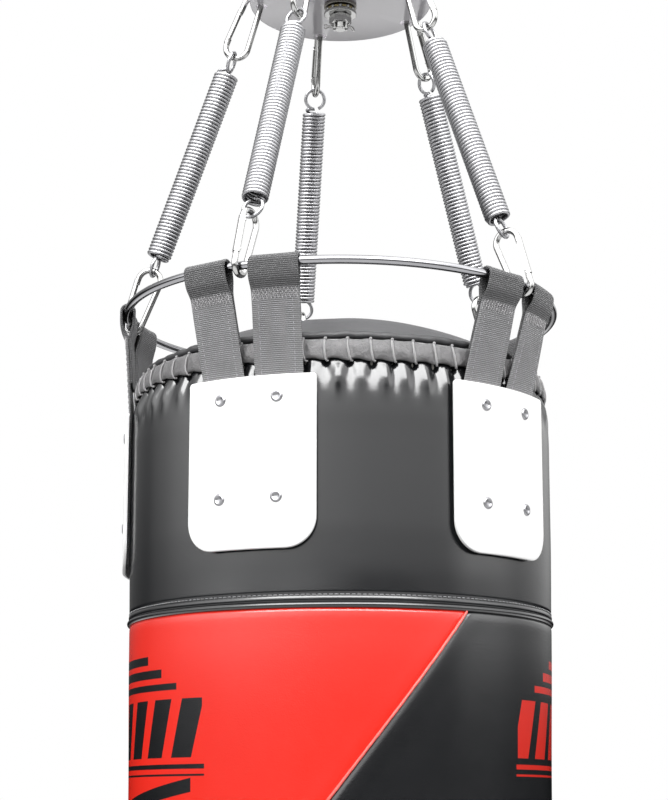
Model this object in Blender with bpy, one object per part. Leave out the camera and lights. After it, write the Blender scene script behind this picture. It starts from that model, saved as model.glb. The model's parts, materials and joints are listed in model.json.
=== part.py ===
"""Heavy punching bag hung by five springs from a swivel plate, with its bow shackle.

Metres, +Z up, the front faces -Y. The origin is the bearing point inside the top of the
shackle bow, where whatever holds the bag passes through. Angles are measured from the
front, positive towards +X. Heights of the bag are counted from its upper piping seam.
"""

import math

import bmesh
import bpy
from mathutils import Matrix, Vector
from mathutils.geometry import tessellate_polygon

GAP = 0.0003

# The shackle, the eye bolt and the plate
BOW_ROD = 0.005
BOW_HALF_WIDTH = 0.016
BOW_DROP = 0.040
PIN_RADIUS = 0.005
PIN_HEAD = 0.006
PIN_HEAD_RADIUS = 0.008
EAR_RADIUS = 0.0105
EYE_RADIUS = 0.015
EYE_ROD = 0.005
STUD_RADIUS = 0.005
COLLAR_RADIUS = 0.011
COLLAR_HEIGHT = 0.004
PLATE_RADIUS = 0.080
PLATE_THICKNESS = 0.004
PLATE_HOLE_CIRCLE = 0.070
PLATE_HOLE_RADIUS = 0.005
PLATE_BORE_RADIUS = 0.006
RACE_RADIUS = 0.0143
RACE_HEIGHT = 0.003
CAGE_HEIGHT = 0.0034
NUT_ACROSS_FLATS = 0.017
NUT_HEIGHT = 0.012
NUT_SLOT_WIDTH = 0.003
NUT_SLOT_DEPTH = 0.004
COTTER_RADIUS = 0.00125
COTTER_REACH = 0.0125

# The bag
BAG_RADIUS = 0.175
SHELL = 0.0025
SEAM_ALLOWANCE = 0.001
BAND_RADIUS = 1.005 * BAG_RADIUS
BAND_FULL_FROM = 0.060
BAND_FULL_TO = 0.132
PLATE_ABOVE_SEAM = 0.554
RING_ABOVE_SEAM = 0.2635
RING_RADIUS = 0.181
RING_ROD = 0.004
PIPING_ROD = 0.002
LOWER_SEAM = -0.805
BASE_EDGE = -0.985
BASE_DEPTH = -1.000
BASE_FLAT = 0.140
BASE_BEND = 0.165
SHOULDER_RADIUS = 0.990 * BAG_RADIUS
SHOULDER_FROM = 0.162
SHOULDER_TOP = 0.188
HEM_TOP = 0.2045
HEM_THICKNESS = 0.00355
DOME_RADIUS = 0.168
DOME_EDGE = 0.204
DOME_RISE = 0.051
FILLING_RADIUS = 0.170
FILLING_SHOULDER = 0.167
FILLING_FROM = -0.980
RED_MIDDLE = math.radians(-82.5)
RED_HALF_WIDTH = math.radians(116.2)
RED_DEPTH = -0.454
BAG_SIDES = 40
RING_STEPS = 64

# The straps, patches and spring chains, five of each round the bag. The plate's holes are
# drilled evenly. The patches and the ring's hooks stand where hand sewing and use left them.
CHAINS = 5
FIRST_HOLE = math.radians(-21.0)
PATCH_ANGLES = tuple(math.radians(angle) for angle in (-22.9, 46.0, 122.0, 192.0, 264.5))
RING_ANGLES = tuple(math.radians(angle) for angle in (-25.5, 54.2, 129.5, 192.5, 264.5))
STRAP_WIDTH = 0.038
STRAP = 0.0022
STRAP_ANGLE_LOW = math.radians(7.5)
STRAP_ANGLE_HIGH = math.radians(9.2)
STRAP_BOTTOM = 0.048
TAIL_BOTTOM = HEM_TOP - 0.004
LOOP_FOOT = RING_RADIUS - 0.001
LOOP_FROM = RING_ABOVE_SEAM - 0.035
LOOP_PINCH = RING_ABOVE_SEAM - 0.027
PATCH_HALF_ANGLE = math.radians(17.2)
PATCH_BOTTOM = 0.0422
PATCH_TOP = 0.1754
PATCH_CORNER = 0.024
PATCH_LIFT = 0.0035
PATCH = 0.0025
RIVET_ROWS = (0.0815, 0.1585)
RIVET_RADIUS = 0.00475
RIVET_HEAD = 0.0015
HOOK_ROD = 0.0025
HOOK_NARROW = 0.0075
HOOK_WIDE = 0.010
HOOK_LENGTH = 0.0408
GATE_HINGE = -0.0352
GATE_NOSE = -0.0106
GATE_ROD = 0.0024
GATE_CLEARANCE = 0.0009
SPRING_RADIUS = 0.0108
SPRING_WIRE = 0.00155
LOOP_RADIUS = 0.00875
SPRING_BODY = 0.1795

# Derived places
PIN_Z = -BOW_DROP
EYE_Z = PIN_Z - (EYE_RADIUS - EYE_ROD - PIN_RADIUS - GAP)
COLLAR_TOP = EYE_Z - EYE_RADIUS - EYE_ROD - GAP
PLATE_TOP = COLLAR_TOP - COLLAR_HEIGHT - GAP
PLATE_Z = PLATE_TOP - PLATE_THICKNESS / 2
PLATE_BOTTOM = PLATE_TOP - PLATE_THICKNESS
SEAM_Z = PLATE_Z - PLATE_ABOVE_SEAM
NUT_TOP = PLATE_BOTTOM - 2 * RACE_HEIGHT - CAGE_HEIGHT - 4 * GAP
NUT_BOTTOM = NUT_TOP - NUT_HEIGHT
RING_Z = SEAM_Z + RING_ABOVE_SEAM
PIVOT_RADIUS = (PLATE_HOLE_CIRCLE + PLATE_HOLE_RADIUS + PLATE_RADIUS) / 2
UPPER_HOOK_AT = 0.0014
RING_SLACK = HOOK_NARROW - HOOK_ROD - RING_ROD - GAP
UPPER_EYE_AT = UPPER_HOOK_AT + HOOK_LENGTH + HOOK_WIDE
LOOP_OFFSET = HOOK_ROD + SPRING_WIRE + GAP
SPRING_FROM = UPPER_EYE_AT - LOOP_OFFSET + 2 * LOOP_RADIUS + SPRING_WIRE / 2
SPRING_TO = SPRING_FROM + SPRING_BODY


def clear_scene():
    for old in list(bpy.data.objects):
        bpy.data.objects.remove(old, do_unlink=True)


def material(name, colour, roughness, metallic=0.0):
    made = bpy.data.materials.new(name)
    made.use_nodes = True
    shader = made.node_tree.nodes["Principled BSDF"]
    shader.inputs["Base Color"].default_value = (*colour, 1.0)
    shader.inputs["Roughness"].default_value = roughness
    shader.inputs["Metallic"].default_value = metallic
    return made


def mesh_from(bm, name, finish):
    """The mesh of a bmesh: faces turned outwards, round sides shaded smooth."""
    bmesh.ops.recalc_face_normals(bm, faces=bm.faces[:])
    mesh = bpy.data.meshes.new(name)
    bm.to_mesh(mesh)
    bm.free()
    mesh.shade_smooth()
    mesh.set_sharp_from_angle(angle=math.radians(40))
    mesh.materials.append(finish)
    return mesh


def place(name, mesh, matrix=None, parent=None):
    made = bpy.data.objects.new(name, mesh)
    bpy.context.scene.collection.objects.link(made)
    made.parent = parent
    if matrix is not None:
        made.matrix_local = matrix
    return made


def helper(made):
    """Marks an object as a tool for a Boolean, which is no part of the product."""
    made.hide_render = True
    made.display_type = "WIRE"
    return made


def boolean(made, other, operation):
    modifier = made.modifiers.new(operation.lower(), "BOOLEAN")
    modifier.operation = operation
    modifier.solver = "EXACT"
    modifier.object = helper(other)


def fused_mesh(made):
    """The mesh of an object after its modifiers, and the object and its helpers removed."""
    bpy.context.view_layer.update()
    graph = bpy.context.evaluated_depsgraph_get()
    mesh = bpy.data.meshes.new_from_object(made.evaluated_get(graph))
    for modifier in list(made.modifiers):
        bpy.data.objects.remove(modifier.object, do_unlink=True)
    bpy.data.objects.remove(made, do_unlink=True)
    return mesh


def turned(profile, sides=BAG_SIDES):
    """A closed (radius, height) outline turned once round the Z axis."""
    bm = bmesh.new()
    rings = []
    for radius, height in profile:
        count = sides if radius > 0 else 1
        turns = [math.tau * step / sides for step in range(count)]
        corners = [(radius * math.sin(turn), -radius * math.cos(turn), height) for turn in turns]
        rings.append([bm.verts.new(corner) for corner in corners])
    for ring, following in zip(rings, rings[1:] + rings[:1]):
        for step in range(sides):
            after = (step + 1) % sides
            corners = [ring[step % len(ring)], ring[after % len(ring)]]
            corners += [following[after % len(following)], following[step % len(following)]]
            corners = list(dict.fromkeys(corners))
            if len(corners) > 2:
                bm.faces.new(corners)
    return bm


def rod(points, radius, sides, normal, closed=False):
    """A round rod along points that lie in a plane square to normal."""
    bm = bmesh.new()
    points = [Vector(point) for point in points]
    normal = Vector(normal)
    rings = []
    for index, point in enumerate(points):
        before = points[index - 1] if closed or index else point
        after = points[(index + 1) % len(points)] if closed or index + 1 < len(points) else point
        along = (after - before).normalized()
        side = along.cross(normal)
        turns = [math.tau * step / sides for step in range(sides)]
        spokes = [radius * (math.cos(turn) * side + math.sin(turn) * normal) for turn in turns]
        rings.append([bm.verts.new(point + spoke) for spoke in spokes])
    for ring, following in zip(rings, rings[1:] + (rings[:1] if closed else [])):
        for step in range(sides):
            after = (step + 1) % sides
            bm.faces.new([ring[step], ring[after], following[after], following[step]])
    if not closed:
        bm.faces.new(rings[0])
        bm.faces.new(rings[-1])
    return bm


def cylinder(radius, low, high, sides, axis="Z"):
    """A round bar on one axis, from low to high along it."""
    bm = turned([(0, low), (radius, low), (radius, high), (0, high)], sides)
    turn = {"Z": Matrix(), "X": Matrix.Rotation(math.radians(90), 4, "Y")}
    bmesh.ops.transform(bm, matrix=turn[axis], verts=bm.verts[:])
    return bm


def prism(outline, low, high):
    """An outline in the XY plane raised from low to high."""
    bm = bmesh.new()
    rings = [[bm.verts.new((x, y, z)) for x, y in outline] for z in (low, high)]
    bm.faces.new(rings[0])
    bm.faces.new(rings[1])
    count = len(outline)
    for step in range(count):
        after = (step + 1) % count
        bm.faces.new([rings[0][step], rings[0][after], rings[1][after], rings[1][step]])
    return bm


def bent_plate(outline, inner, outer):
    """A plate bent round the Z axis. Its outline is (angle, height) points.

    It is cut on the same angles as the turned pieces, so that their facets match.
    """
    bm = bmesh.new()
    bm.faces.new([bm.verts.new((angle, 0, height)) for angle, height in outline])
    facet = math.tau / BAG_SIDES
    low = min(angle for angle, _ in outline)
    high = max(angle for angle, _ in outline)
    for cut in range(math.ceil(low / facet), math.ceil(high / facet)):
        everything = bm.verts[:] + bm.edges[:] + bm.faces[:]
        bmesh.ops.bisect_plane(bm, geom=everything, plane_co=(cut * facet, 0, 0), plane_no=(1, 0, 0))
    skin = bm.faces[:]
    rims = [edge for edge in bm.edges if edge.is_boundary]
    copies = bmesh.ops.duplicate(bm, geom=skin)["vert_map"]
    for edge in rims:
        first, second = edge.verts
        bm.faces.new([first, second, copies[second], copies[first]])
    raised = {copies[vert] for face in skin for vert in face.verts}
    for vert in bm.verts:
        angle, _, height = vert.co
        radius = outer if vert in raised else inner
        vert.co = (radius * math.sin(angle), -radius * math.cos(angle), height)
    return bm


def arc(centre, radius, start, end, steps):
    """Points of an arc in a plane, in degrees, both ends included."""
    angles = [math.radians(start + (end - start) * step / steps) for step in range(steps + 1)]
    return [(centre[0] + radius * math.cos(a), centre[1] + radius * math.sin(a)) for a in angles]


def bag_heights(profile):
    return [(radius, SEAM_Z + height) for radius, height in profile]


def build_shackle(steel):
    """The bow, a round bar bent to a U with an ear at each end, and the pin through them."""
    bow = arc((0, -BOW_HALF_WIDTH + BOW_ROD), BOW_HALF_WIDTH, 0, 180, 10)
    legs = [(BOW_HALF_WIDTH, PIN_Z)] + bow + [(-BOW_HALF_WIDTH, PIN_Z)]
    shape = rod([(x, 0, z) for x, z in legs], BOW_ROD, 10, (0, 1, 0))
    made = place("shackle_bow", mesh_from(shape, "shackle_bow", steel))
    at_pin = Matrix.Translation((0, 0, PIN_Z))
    for side in (-1, 1):
        ends = sorted((side * (BOW_HALF_WIDTH - BOW_ROD), side * (BOW_HALF_WIDTH + BOW_ROD)))
        ear = cylinder(EAR_RADIUS, *ends, 16, "X")
        boolean(made, place("ear", mesh_from(ear, "ear", steel), at_pin), "UNION")
    hole = cylinder(PIN_RADIUS + GAP, -0.03, 0.03, 16, "X")
    boolean(made, place("pin_hole", mesh_from(hole, "pin_hole", steel), at_pin), "DIFFERENCE")
    reach = BOW_HALF_WIDTH + BOW_ROD + GAP
    top = reach + PIN_HEAD
    outline = [(0, -reach), (PIN_RADIUS, -reach), (PIN_RADIUS, reach), (PIN_HEAD_RADIUS, reach)]
    pin = turned(outline + [(PIN_HEAD_RADIUS, top), (0, top)], 16)
    bmesh.ops.transform(pin, matrix=Matrix.Rotation(math.radians(90), 4, "Y"), verts=pin.verts[:])
    place("shackle_pin", mesh_from(pin, "shackle_pin", steel), at_pin)


def build_eye_bolt(steel):
    """The eye over the pin, its collar and the stud down through the plate and the nut."""
    ring = [(0, y, z) for y, z in arc((0, EYE_Z), EYE_RADIUS, 0, 340, 17)]
    made = place("eye_bolt", mesh_from(rod(ring, EYE_ROD, 8, (1, 0, 0), True), "eye_bolt", steel))
    low = NUT_BOTTOM - 0.001
    collar_low = COLLAR_TOP - COLLAR_HEIGHT
    stud = [(0, low), (STUD_RADIUS, low), (STUD_RADIUS, collar_low), (COLLAR_RADIUS, collar_low)]
    stud += [(COLLAR_RADIUS, COLLAR_TOP), (0, COLLAR_TOP)]
    boolean(made, place("stud", mesh_from(turned(stud, 16), "stud", steel)), "UNION")
    neck = cylinder(STUD_RADIUS, COLLAR_TOP - GAP, EYE_Z - EYE_RADIUS, 16)
    boolean(made, place("neck", mesh_from(neck, "neck", steel)), "UNION")
    hole = cylinder(COTTER_RADIUS + GAP, -0.02, 0.02, 12, "X")
    at = Matrix.Translation((0, 0, NUT_BOTTOM + NUT_SLOT_DEPTH / 2))
    boolean(made, place("cotter_hole", mesh_from(hole, "cotter_hole", steel), at), "DIFFERENCE")


def build_bearing(steel, brass):
    """The thrust bearing that the plate turns on: two races and a cage between them."""
    top = PLATE_BOTTOM - GAP
    bore = STUD_RADIUS + GAP
    heights = {"upper_race": RACE_HEIGHT, "ball_cage": CAGE_HEIGHT, "lower_race": RACE_HEIGHT}
    for name, height in heights.items():
        caged = name == "ball_cage"
        outer = RACE_RADIUS - 0.0015 if caged else RACE_RADIUS
        inner = bore + 0.002 if caged else bore
        low = top - height
        outline = [(inner, low), (outer, low), (outer, top), (inner, top)]
        place(name, mesh_from(turned(outline, 24), name, brass if caged else steel))
        top = low - GAP


def build_castle_nut(steel):
    """A hexagon nut with six slots in its lower end, and the cotter pin through two of them."""
    outline = arc((0, 0), NUT_ACROSS_FLATS / math.sqrt(3), 0, 300, 5)
    made = place("castle_nut", mesh_from(prism(outline, NUT_BOTTOM, NUT_TOP), "castle_nut", steel))
    bore = cylinder(STUD_RADIUS + GAP, NUT_BOTTOM - 0.01, NUT_TOP + 0.01, 16)
    boolean(made, place("nut_bore", mesh_from(bore, "nut_bore", steel)), "DIFFERENCE")
    half = NUT_SLOT_WIDTH / 2
    reach = NUT_ACROSS_FLATS
    corners = [(-reach, -half), (reach, -half), (reach, half), (-reach, half)]
    for turn in range(3):
        slot = prism(corners, NUT_BOTTOM - 0.01, NUT_BOTTOM + NUT_SLOT_DEPTH)
        at = Matrix.Rotation(math.radians(60 * turn), 4, "Z")
        boolean(made, place("nut_slot", mesh_from(slot, "nut_slot", steel), at), "DIFFERENCE")
    middle = NUT_BOTTOM + NUT_SLOT_DEPTH / 2
    line = [(-COTTER_REACH, 0, middle + 0.001), (-COTTER_REACH + 0.001, 0, middle)]
    line += [(COTTER_REACH - 0.002, 0, middle), (COTTER_REACH, 0, middle - 0.004)]
    place("cotter_pin", mesh_from(rod(line, COTTER_RADIUS, 8, (0, 1, 0)), "cotter_pin", steel))


def build_plate(paint):
    """The round plate, with a bore for the stud and a hole near its rim for each hook."""
    outline = [(PLATE_BORE_RADIUS, PLATE_BOTTOM), (PLATE_RADIUS, PLATE_BOTTOM)]
    outline += [(PLATE_RADIUS, PLATE_TOP), (PLATE_BORE_RADIUS, PLATE_TOP)]
    made = place("hanger_plate", mesh_from(turned(outline), "hanger_plate", paint))
    for chain in range(CHAINS):
        hole = cylinder(PLATE_HOLE_RADIUS, PLATE_BOTTOM - 0.01, PLATE_TOP + 0.01, 16)
        at = Matrix.Rotation(hole_angle(chain), 4, "Z") @ Matrix.Translation((0, -PLATE_HOLE_CIRCLE, 0))
        boolean(made, place("hook_hole", mesh_from(hole, "hook_hole", paint), at), "DIFFERENCE")


def hang_from_pin():
    """Puts what swings on the shackle's pin, and doesn't turn with the plate, under one axis empty."""
    axis = place("swing_axis", None, Matrix.Translation((0, 0, PIN_Z)))
    for name in ("eye_bolt", "castle_nut", "cotter_pin", "lower_race", "ball_cage"):
        swinging = bpy.data.objects[name]
        swinging.parent = axis
        swinging.matrix_parent_inverse = Matrix.Translation((0, 0, -PIN_Z))


def hole_angle(chain):
    return FIRST_HOLE + math.tau * chain / CHAINS


def round_place(radius, angle, height):
    return Vector((radius * math.sin(angle), -radius * math.cos(angle), height))


def chain_ends(chain):
    """Where a chain turns: the middle of the plate's rim at its hole, and of the ring's rod."""
    top = round_place(PIVOT_RADIUS, hole_angle(chain), PLATE_Z)
    return top, round_place(RING_RADIUS, RING_ANGLES[chain], RING_Z)


def chain_frame(chain):
    """An empty at the plate's rim. X points outwards, -Z along the chain to the ring."""
    frame = place(f"chain_{chain + 1}", None)
    top, foot = chain_ends(chain)
    up = (top - foot).normalized()
    across = Vector((0, 0, 1)).cross(foot - top).normalized()
    out = across.cross(up)
    frame.matrix_local = Matrix.Translation(top) @ Matrix((out, across, up)).transposed().to_4x4()
    return frame


def hook_side(z):
    """How far the side of the snap hook's wire is from its middle line at z."""
    return HOOK_NARROW + (HOOK_WIDE - HOOK_NARROW) * -z / HOOK_LENGTH


def hook_mesh(steel):
    """A pear-shaped snap hook without its gate. The origin is the narrow bow's centre."""
    path = [(hook_side(GATE_NOSE), GATE_NOSE)]
    path += arc((0, 0), HOOK_NARROW, 0, 180, 6)
    path += arc((0, -HOOK_LENGTH), HOOK_WIDE, 180, 360, 6)
    path += [(hook_side(GATE_HINGE), GATE_HINGE)]
    return mesh_from(rod([(x, 0, z) for x, z in path], HOOK_ROD, 6, (0, 1, 0)), "snap_hook", steel)


def gate_mesh(steel):
    """The hook's sprung gate, clear of the wire's end so that it can turn. The origin is its hinge."""
    low, high = GATE_HINGE + GATE_CLEARANCE, GATE_NOSE - GAP
    ends = [(hook_side(z) - hook_side(GATE_HINGE), 0, z - GATE_HINGE) for z in (low, high)]
    return mesh_from(rod(ends, GATE_ROD, 8, (0, 1, 0)), "snap_gate", steel)


def spring_mesh(steel, lower_eye):
    """A close-wound spring as a tube. A bar across each end carries a round loop."""
    inner = SPRING_RADIUS - 2 * SPRING_WIRE
    tube = [(inner, -SPRING_TO), (SPRING_RADIUS, -SPRING_TO)]
    tube += [(SPRING_RADIUS, -SPRING_FROM), (inner, -SPRING_FROM)]
    made = place("spring", mesh_from(turned(tube, 12), "spring", steel))
    reach = SPRING_RADIUS - SPRING_WIRE
    for eye, side in ((-UPPER_EYE_AT + LOOP_OFFSET, -1), (-lower_eye - LOOP_OFFSET, 1)):
        middle = eye + side * LOOP_RADIUS
        circle = [(0, y, z) for y, z in arc((0, middle), LOOP_RADIUS, 0, 330, 11)]
        loop = mesh_from(rod(circle, SPRING_WIRE, 6, (1, 0, 0), True), "loop", steel)
        boolean(made, place("loop", loop), "UNION")
        foot = eye + side * 2 * LOOP_RADIUS
        bar = rod([(0, -reach, foot), (0, reach, foot)], SPRING_WIRE, 6, (1, 0, 0))
        boolean(made, place("bar", mesh_from(bar, "bar", steel)), "UNION")
    return fused_mesh(made)


def build_chains(steel, spring_steel):
    """Each chain: a snap hook in the plate, a spring, and a snap hook on the ring."""
    hook = hook_mesh(steel)
    gate = gate_mesh(steel)
    flip = Matrix.Rotation(math.pi, 4, "X")
    hinge = Matrix.Translation((hook_side(GATE_HINGE), 0, GATE_HINGE))
    for chain in range(CHAINS):
        frame = chain_frame(chain)
        number = chain + 1
        top, foot = chain_ends(chain)
        lower_hook_at = (foot - top).length - RING_SLACK
        lower_eye = lower_hook_at - HOOK_LENGTH - HOOK_WIDE
        upper = Matrix.Translation((0, 0, -UPPER_HOOK_AT))
        lower = Matrix.Translation((0, 0, -lower_hook_at)) @ flip
        place(f"upper_hook_{number}", hook, upper, frame)
        place(f"upper_gate_{number}", gate, upper @ hinge, frame)
        place(f"spring_{number}", spring_mesh(spring_steel, lower_eye), Matrix(), frame)
        place(f"lower_hook_{number}", hook, lower, frame)
        place(f"lower_gate_{number}", gate, lower @ hinge, frame)


def build_ring(steel):
    turns = [math.tau * step / RING_STEPS for step in range(RING_STEPS)]
    points = [(RING_RADIUS * math.sin(a), -RING_RADIUS * math.cos(a), RING_Z) for a in turns]
    place("top_ring", mesh_from(rod(points, RING_ROD, 6, (0, 0, 1), True), "top_ring", steel))


def strap_outlines():
    """The strap's edge, seen along the ring's rod: the outer outline and the loop's opening."""
    centre = (RING_RADIUS, RING_ABOVE_SEAM)
    inside = BAND_RADIUS + GAP
    outside = inside + STRAP
    slope = (LOOP_FOOT - inside) / (LOOP_FROM - PATCH_TOP)
    tail = inside + slope * (TAIL_BOTTOM - PATCH_TOP)
    outer = [(inside, PATCH_TOP), (inside, STRAP_BOTTOM), (outside, STRAP_BOTTOM)]
    outer += [(outside, PATCH_TOP), (LOOP_FOOT + STRAP, LOOP_FROM)]
    outer += arc(centre, RING_ROD + GAP + STRAP, -15, 195, 8)
    outer += [(LOOP_FOOT - STRAP, LOOP_FROM), (tail - STRAP, TAIL_BOTTOM), (tail, TAIL_BOTTOM)]
    opening = arc(centre, RING_ROD + GAP, -15, 195, 7) + [(LOOP_FOOT, LOOP_PINCH)]
    return bag_heights(outer), bag_heights(opening)


def strap_mesh(webbing, lean):
    """Webbing folded over the ring, which leans round the bag on its way up from the patch."""
    bm = bmesh.new()
    outlines = strap_outlines()
    points = outlines[0] + outlines[1]
    steps = 3
    rows = []
    for step in range(steps + 1):
        across = (step / steps - 0.5) * STRAP_WIDTH / BAG_RADIUS
        row = []
        for radius, height in points:
            climb = min(max((height - SEAM_Z - PATCH_TOP) / (RING_ABOVE_SEAM - PATCH_TOP), 0), 1)
            angle = across + climb * lean
            row.append(bm.verts.new((radius * math.sin(angle), -radius * math.cos(angle), height)))
        rows.append(row)
    for row, following in zip(rows, rows[1:]):
        start = 0
        for outline in outlines:
            count = len(outline)
            for step in range(count):
                a, b = start + step, start + (step + 1) % count
                bm.faces.new([row[a], row[b], following[b], following[a]])
            start += count
    flat = [[Vector((radius, height, 0)) for radius, height in outline] for outline in outlines]
    for corners in tessellate_polygon(flat):
        bm.faces.new([rows[0][index] for index in corners])
        bm.faces.new([rows[-1][index] for index in corners])
    return mesh_from(bm, "strap", webbing)


def patch_mesh(vinyl, steel):
    """A patch with round lower corners, bent to the bag, and its four rivet heads."""
    radius = BAND_RADIUS + PATCH_LIFT
    corner = PATCH_CORNER / radius
    outline = []
    for side, start in ((1, 270), (-1, 180)):
        bend = arc((0, 0), 1, start, start + 90, 5)
        middle = (side * (PATCH_HALF_ANGLE - corner), PATCH_BOTTOM + PATCH_CORNER)
        outline.append([(middle[0] + corner * x, middle[1] + PATCH_CORNER * y) for x, y in bend])
    edge = outline[1] + outline[0] + [(PATCH_HALF_ANGLE, PATCH_TOP), (-PATCH_HALF_ANGLE, PATCH_TOP)]
    plate = bent_plate([(angle, SEAM_Z + height) for angle, height in edge], radius, radius + PATCH)
    made = place("patch", mesh_from(plate, "patch", vinyl))
    outwards = Matrix.Rotation(math.radians(90), 4, "X")
    for side in (-1, 1):
        for row in RIVET_ROWS:
            low, high = radius + PATCH * 0.4, radius + PATCH + RIVET_HEAD
            head = turned([(0, low), (RIVET_RADIUS, low), (RIVET_RADIUS * 0.8, high), (0, high)], 10)
            turn = Matrix.Rotation(side * STRAP_ANGLE_LOW, 4, "Z")
            at = turn @ Matrix.Translation((0, 0, SEAM_Z + row)) @ outwards
            rivet = place("rivet", mesh_from(head, "rivet", steel), at)
            boolean(made, rivet, "UNION")
    return fused_mesh(made)


def build_straps_and_patches(webbing, vinyl, steel):
    patch = patch_mesh(vinyl, steel)
    for chain in range(CHAINS):
        place(f"patch_{chain + 1}", patch, Matrix.Rotation(PATCH_ANGLES[chain], 4, "Z"))
        for side_name, side in (("left", -1), ("right", 1)):
            start = PATCH_ANGLES[chain] + side * STRAP_ANGLE_LOW
            lean = RING_ANGLES[chain] + side * STRAP_ANGLE_HIGH - start
            at = Matrix.Rotation(start, 4, "Z")
            place(f"strap_{chain + 1}_{side_name}", strap_mesh(webbing, lean), at)


def build_upper_band(vinyl):
    """The black band above the seam, drawn in at the shoulder."""
    low = PIPING_ROD + GAP
    outer = [(BAG_RADIUS, low), (BAND_RADIUS, BAND_FULL_FROM), (BAND_RADIUS, BAND_FULL_TO)]
    outer += [(0.999 * BAG_RADIUS, SHOULDER_FROM), (SHOULDER_RADIUS, SHOULDER_TOP)]
    inner = [(radius - SHELL, height) for radius, height in reversed(outer)]
    place("upper_band", mesh_from(turned(bag_heights(outer + inner)), "upper_band", vinyl))


def build_piping(name, height, vinyl):
    section = arc((BAG_RADIUS - 0.0005, SEAM_Z + height), PIPING_ROD, 0, 300, 5)
    place(name, mesh_from(turned(section), name, vinyl))


def red_outline(margin):
    """The red V seen unrolled, grown by a margin all round."""
    top = SEAM_Z - PIPING_ROD - GAP + margin
    half = RED_HALF_WIDTH + 1.3 * margin / BAG_RADIUS
    half += RED_HALF_WIDTH * margin / -RED_DEPTH
    apex = SEAM_Z + RED_DEPTH - 1.7 * margin
    return [(RED_MIDDLE, apex), (RED_MIDDLE + half, top), (RED_MIDDLE - half, top)]


def build_panels(red, black):
    """The red V panel and the black panel that is cut away round it."""
    inner = BAG_RADIUS - SHELL
    panel = bent_plate(red_outline(0), inner, BAG_RADIUS)
    place("red_panel", mesh_from(panel, "red_panel", red))
    low, high = LOWER_SEAM + PIPING_ROD + GAP, -PIPING_ROD - GAP
    outline = bag_heights([(inner, low), (BAG_RADIUS, low), (BAG_RADIUS, high), (inner, high)])
    made = place("black_panel", mesh_from(turned(outline), "black_panel", black))
    cutter = bent_plate(red_outline(SEAM_ALLOWANCE), inner - 0.01, BAG_RADIUS + 0.01)
    boolean(made, place("red_cutter", mesh_from(cutter, "red_cutter", red)), "DIFFERENCE")


def build_bottom(black):
    """The black band below the lower seam and the round base panel under it."""
    inner = BAG_RADIUS - SHELL
    high = LOWER_SEAM - PIPING_ROD - GAP
    outline = [(inner, BASE_EDGE), (BAG_RADIUS, BASE_EDGE), (BAG_RADIUS, high), (inner, high)]
    place("lower_band", mesh_from(turned(bag_heights(outline)), "lower_band", black))
    edge = BASE_EDGE - GAP
    rim = BAG_RADIUS - 0.001
    under = [(0, BASE_DEPTH), (BASE_FLAT, BASE_DEPTH + 0.0015)]
    under += [(BASE_BEND, BASE_DEPTH + 0.007), (rim, edge)]
    over = [(rim - 0.0035, edge), (BASE_BEND - 0.002, BASE_DEPTH + 0.010)]
    over += [(BASE_FLAT, BASE_DEPTH + 0.0045), (0, BASE_DEPTH + 0.003)]
    place("base_panel", mesh_from(turned(bag_heights(under + over)), "base_panel", black))


def build_top(vinyl, trim):
    """The gathered hem round the top edge, and the domed cover inside it."""
    low = SHOULDER_TOP + GAP
    hem = [(SHOULDER_RADIUS, low), (SHOULDER_RADIUS - 0.0008, low + 0.007)]
    hem += [(SHOULDER_RADIUS - 0.0024, low + 0.013), (SHOULDER_RADIUS - 0.0045, HEM_TOP)]
    hem += [(DOME_RADIUS + GAP, HEM_TOP - 0.0025), (SHOULDER_RADIUS - HEM_THICKNESS, low + 0.001)]
    place("top_hem", mesh_from(turned(bag_heights(hem)), "top_hem", trim))
    outer = dome_profile(DOME_RADIUS, 0, 4)
    inner = dome_profile(DOME_RADIUS - 0.001, SHELL, 4)
    place("top_cover", mesh_from(turned(bag_heights(outer + inner[::-1])), "top_cover", vinyl))


def dome_profile(edge, drop, steps):
    """The dome from its edge to its middle, lowered by drop."""
    sphere = (DOME_RADIUS**2 + DOME_RISE**2) / (2 * DOME_RISE)
    middle = DOME_EDGE + DOME_RISE - sphere
    radii = [edge * (1 - step / steps) for step in range(steps + 1)]
    return [(max(r, 0), middle + math.sqrt(sphere**2 - r**2) - drop) for r in radii]


def build_filling(textile):
    """The packed textile filling, one body under the shell."""
    under = [(0, BASE_DEPTH + 0.004), (BASE_FLAT - 0.001, BASE_DEPTH + 0.0060)]
    side = [(FILLING_RADIUS, FILLING_FROM), (FILLING_RADIUS, BAND_FULL_TO)]
    side.append((FILLING_SHOULDER, SHOULDER_TOP - 0.002))
    over = dome_profile(DOME_RADIUS - 0.005, SHELL + 3 * GAP, 4)
    place("filling", mesh_from(turned(bag_heights(under + side + over)), "filling", textile))


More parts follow.
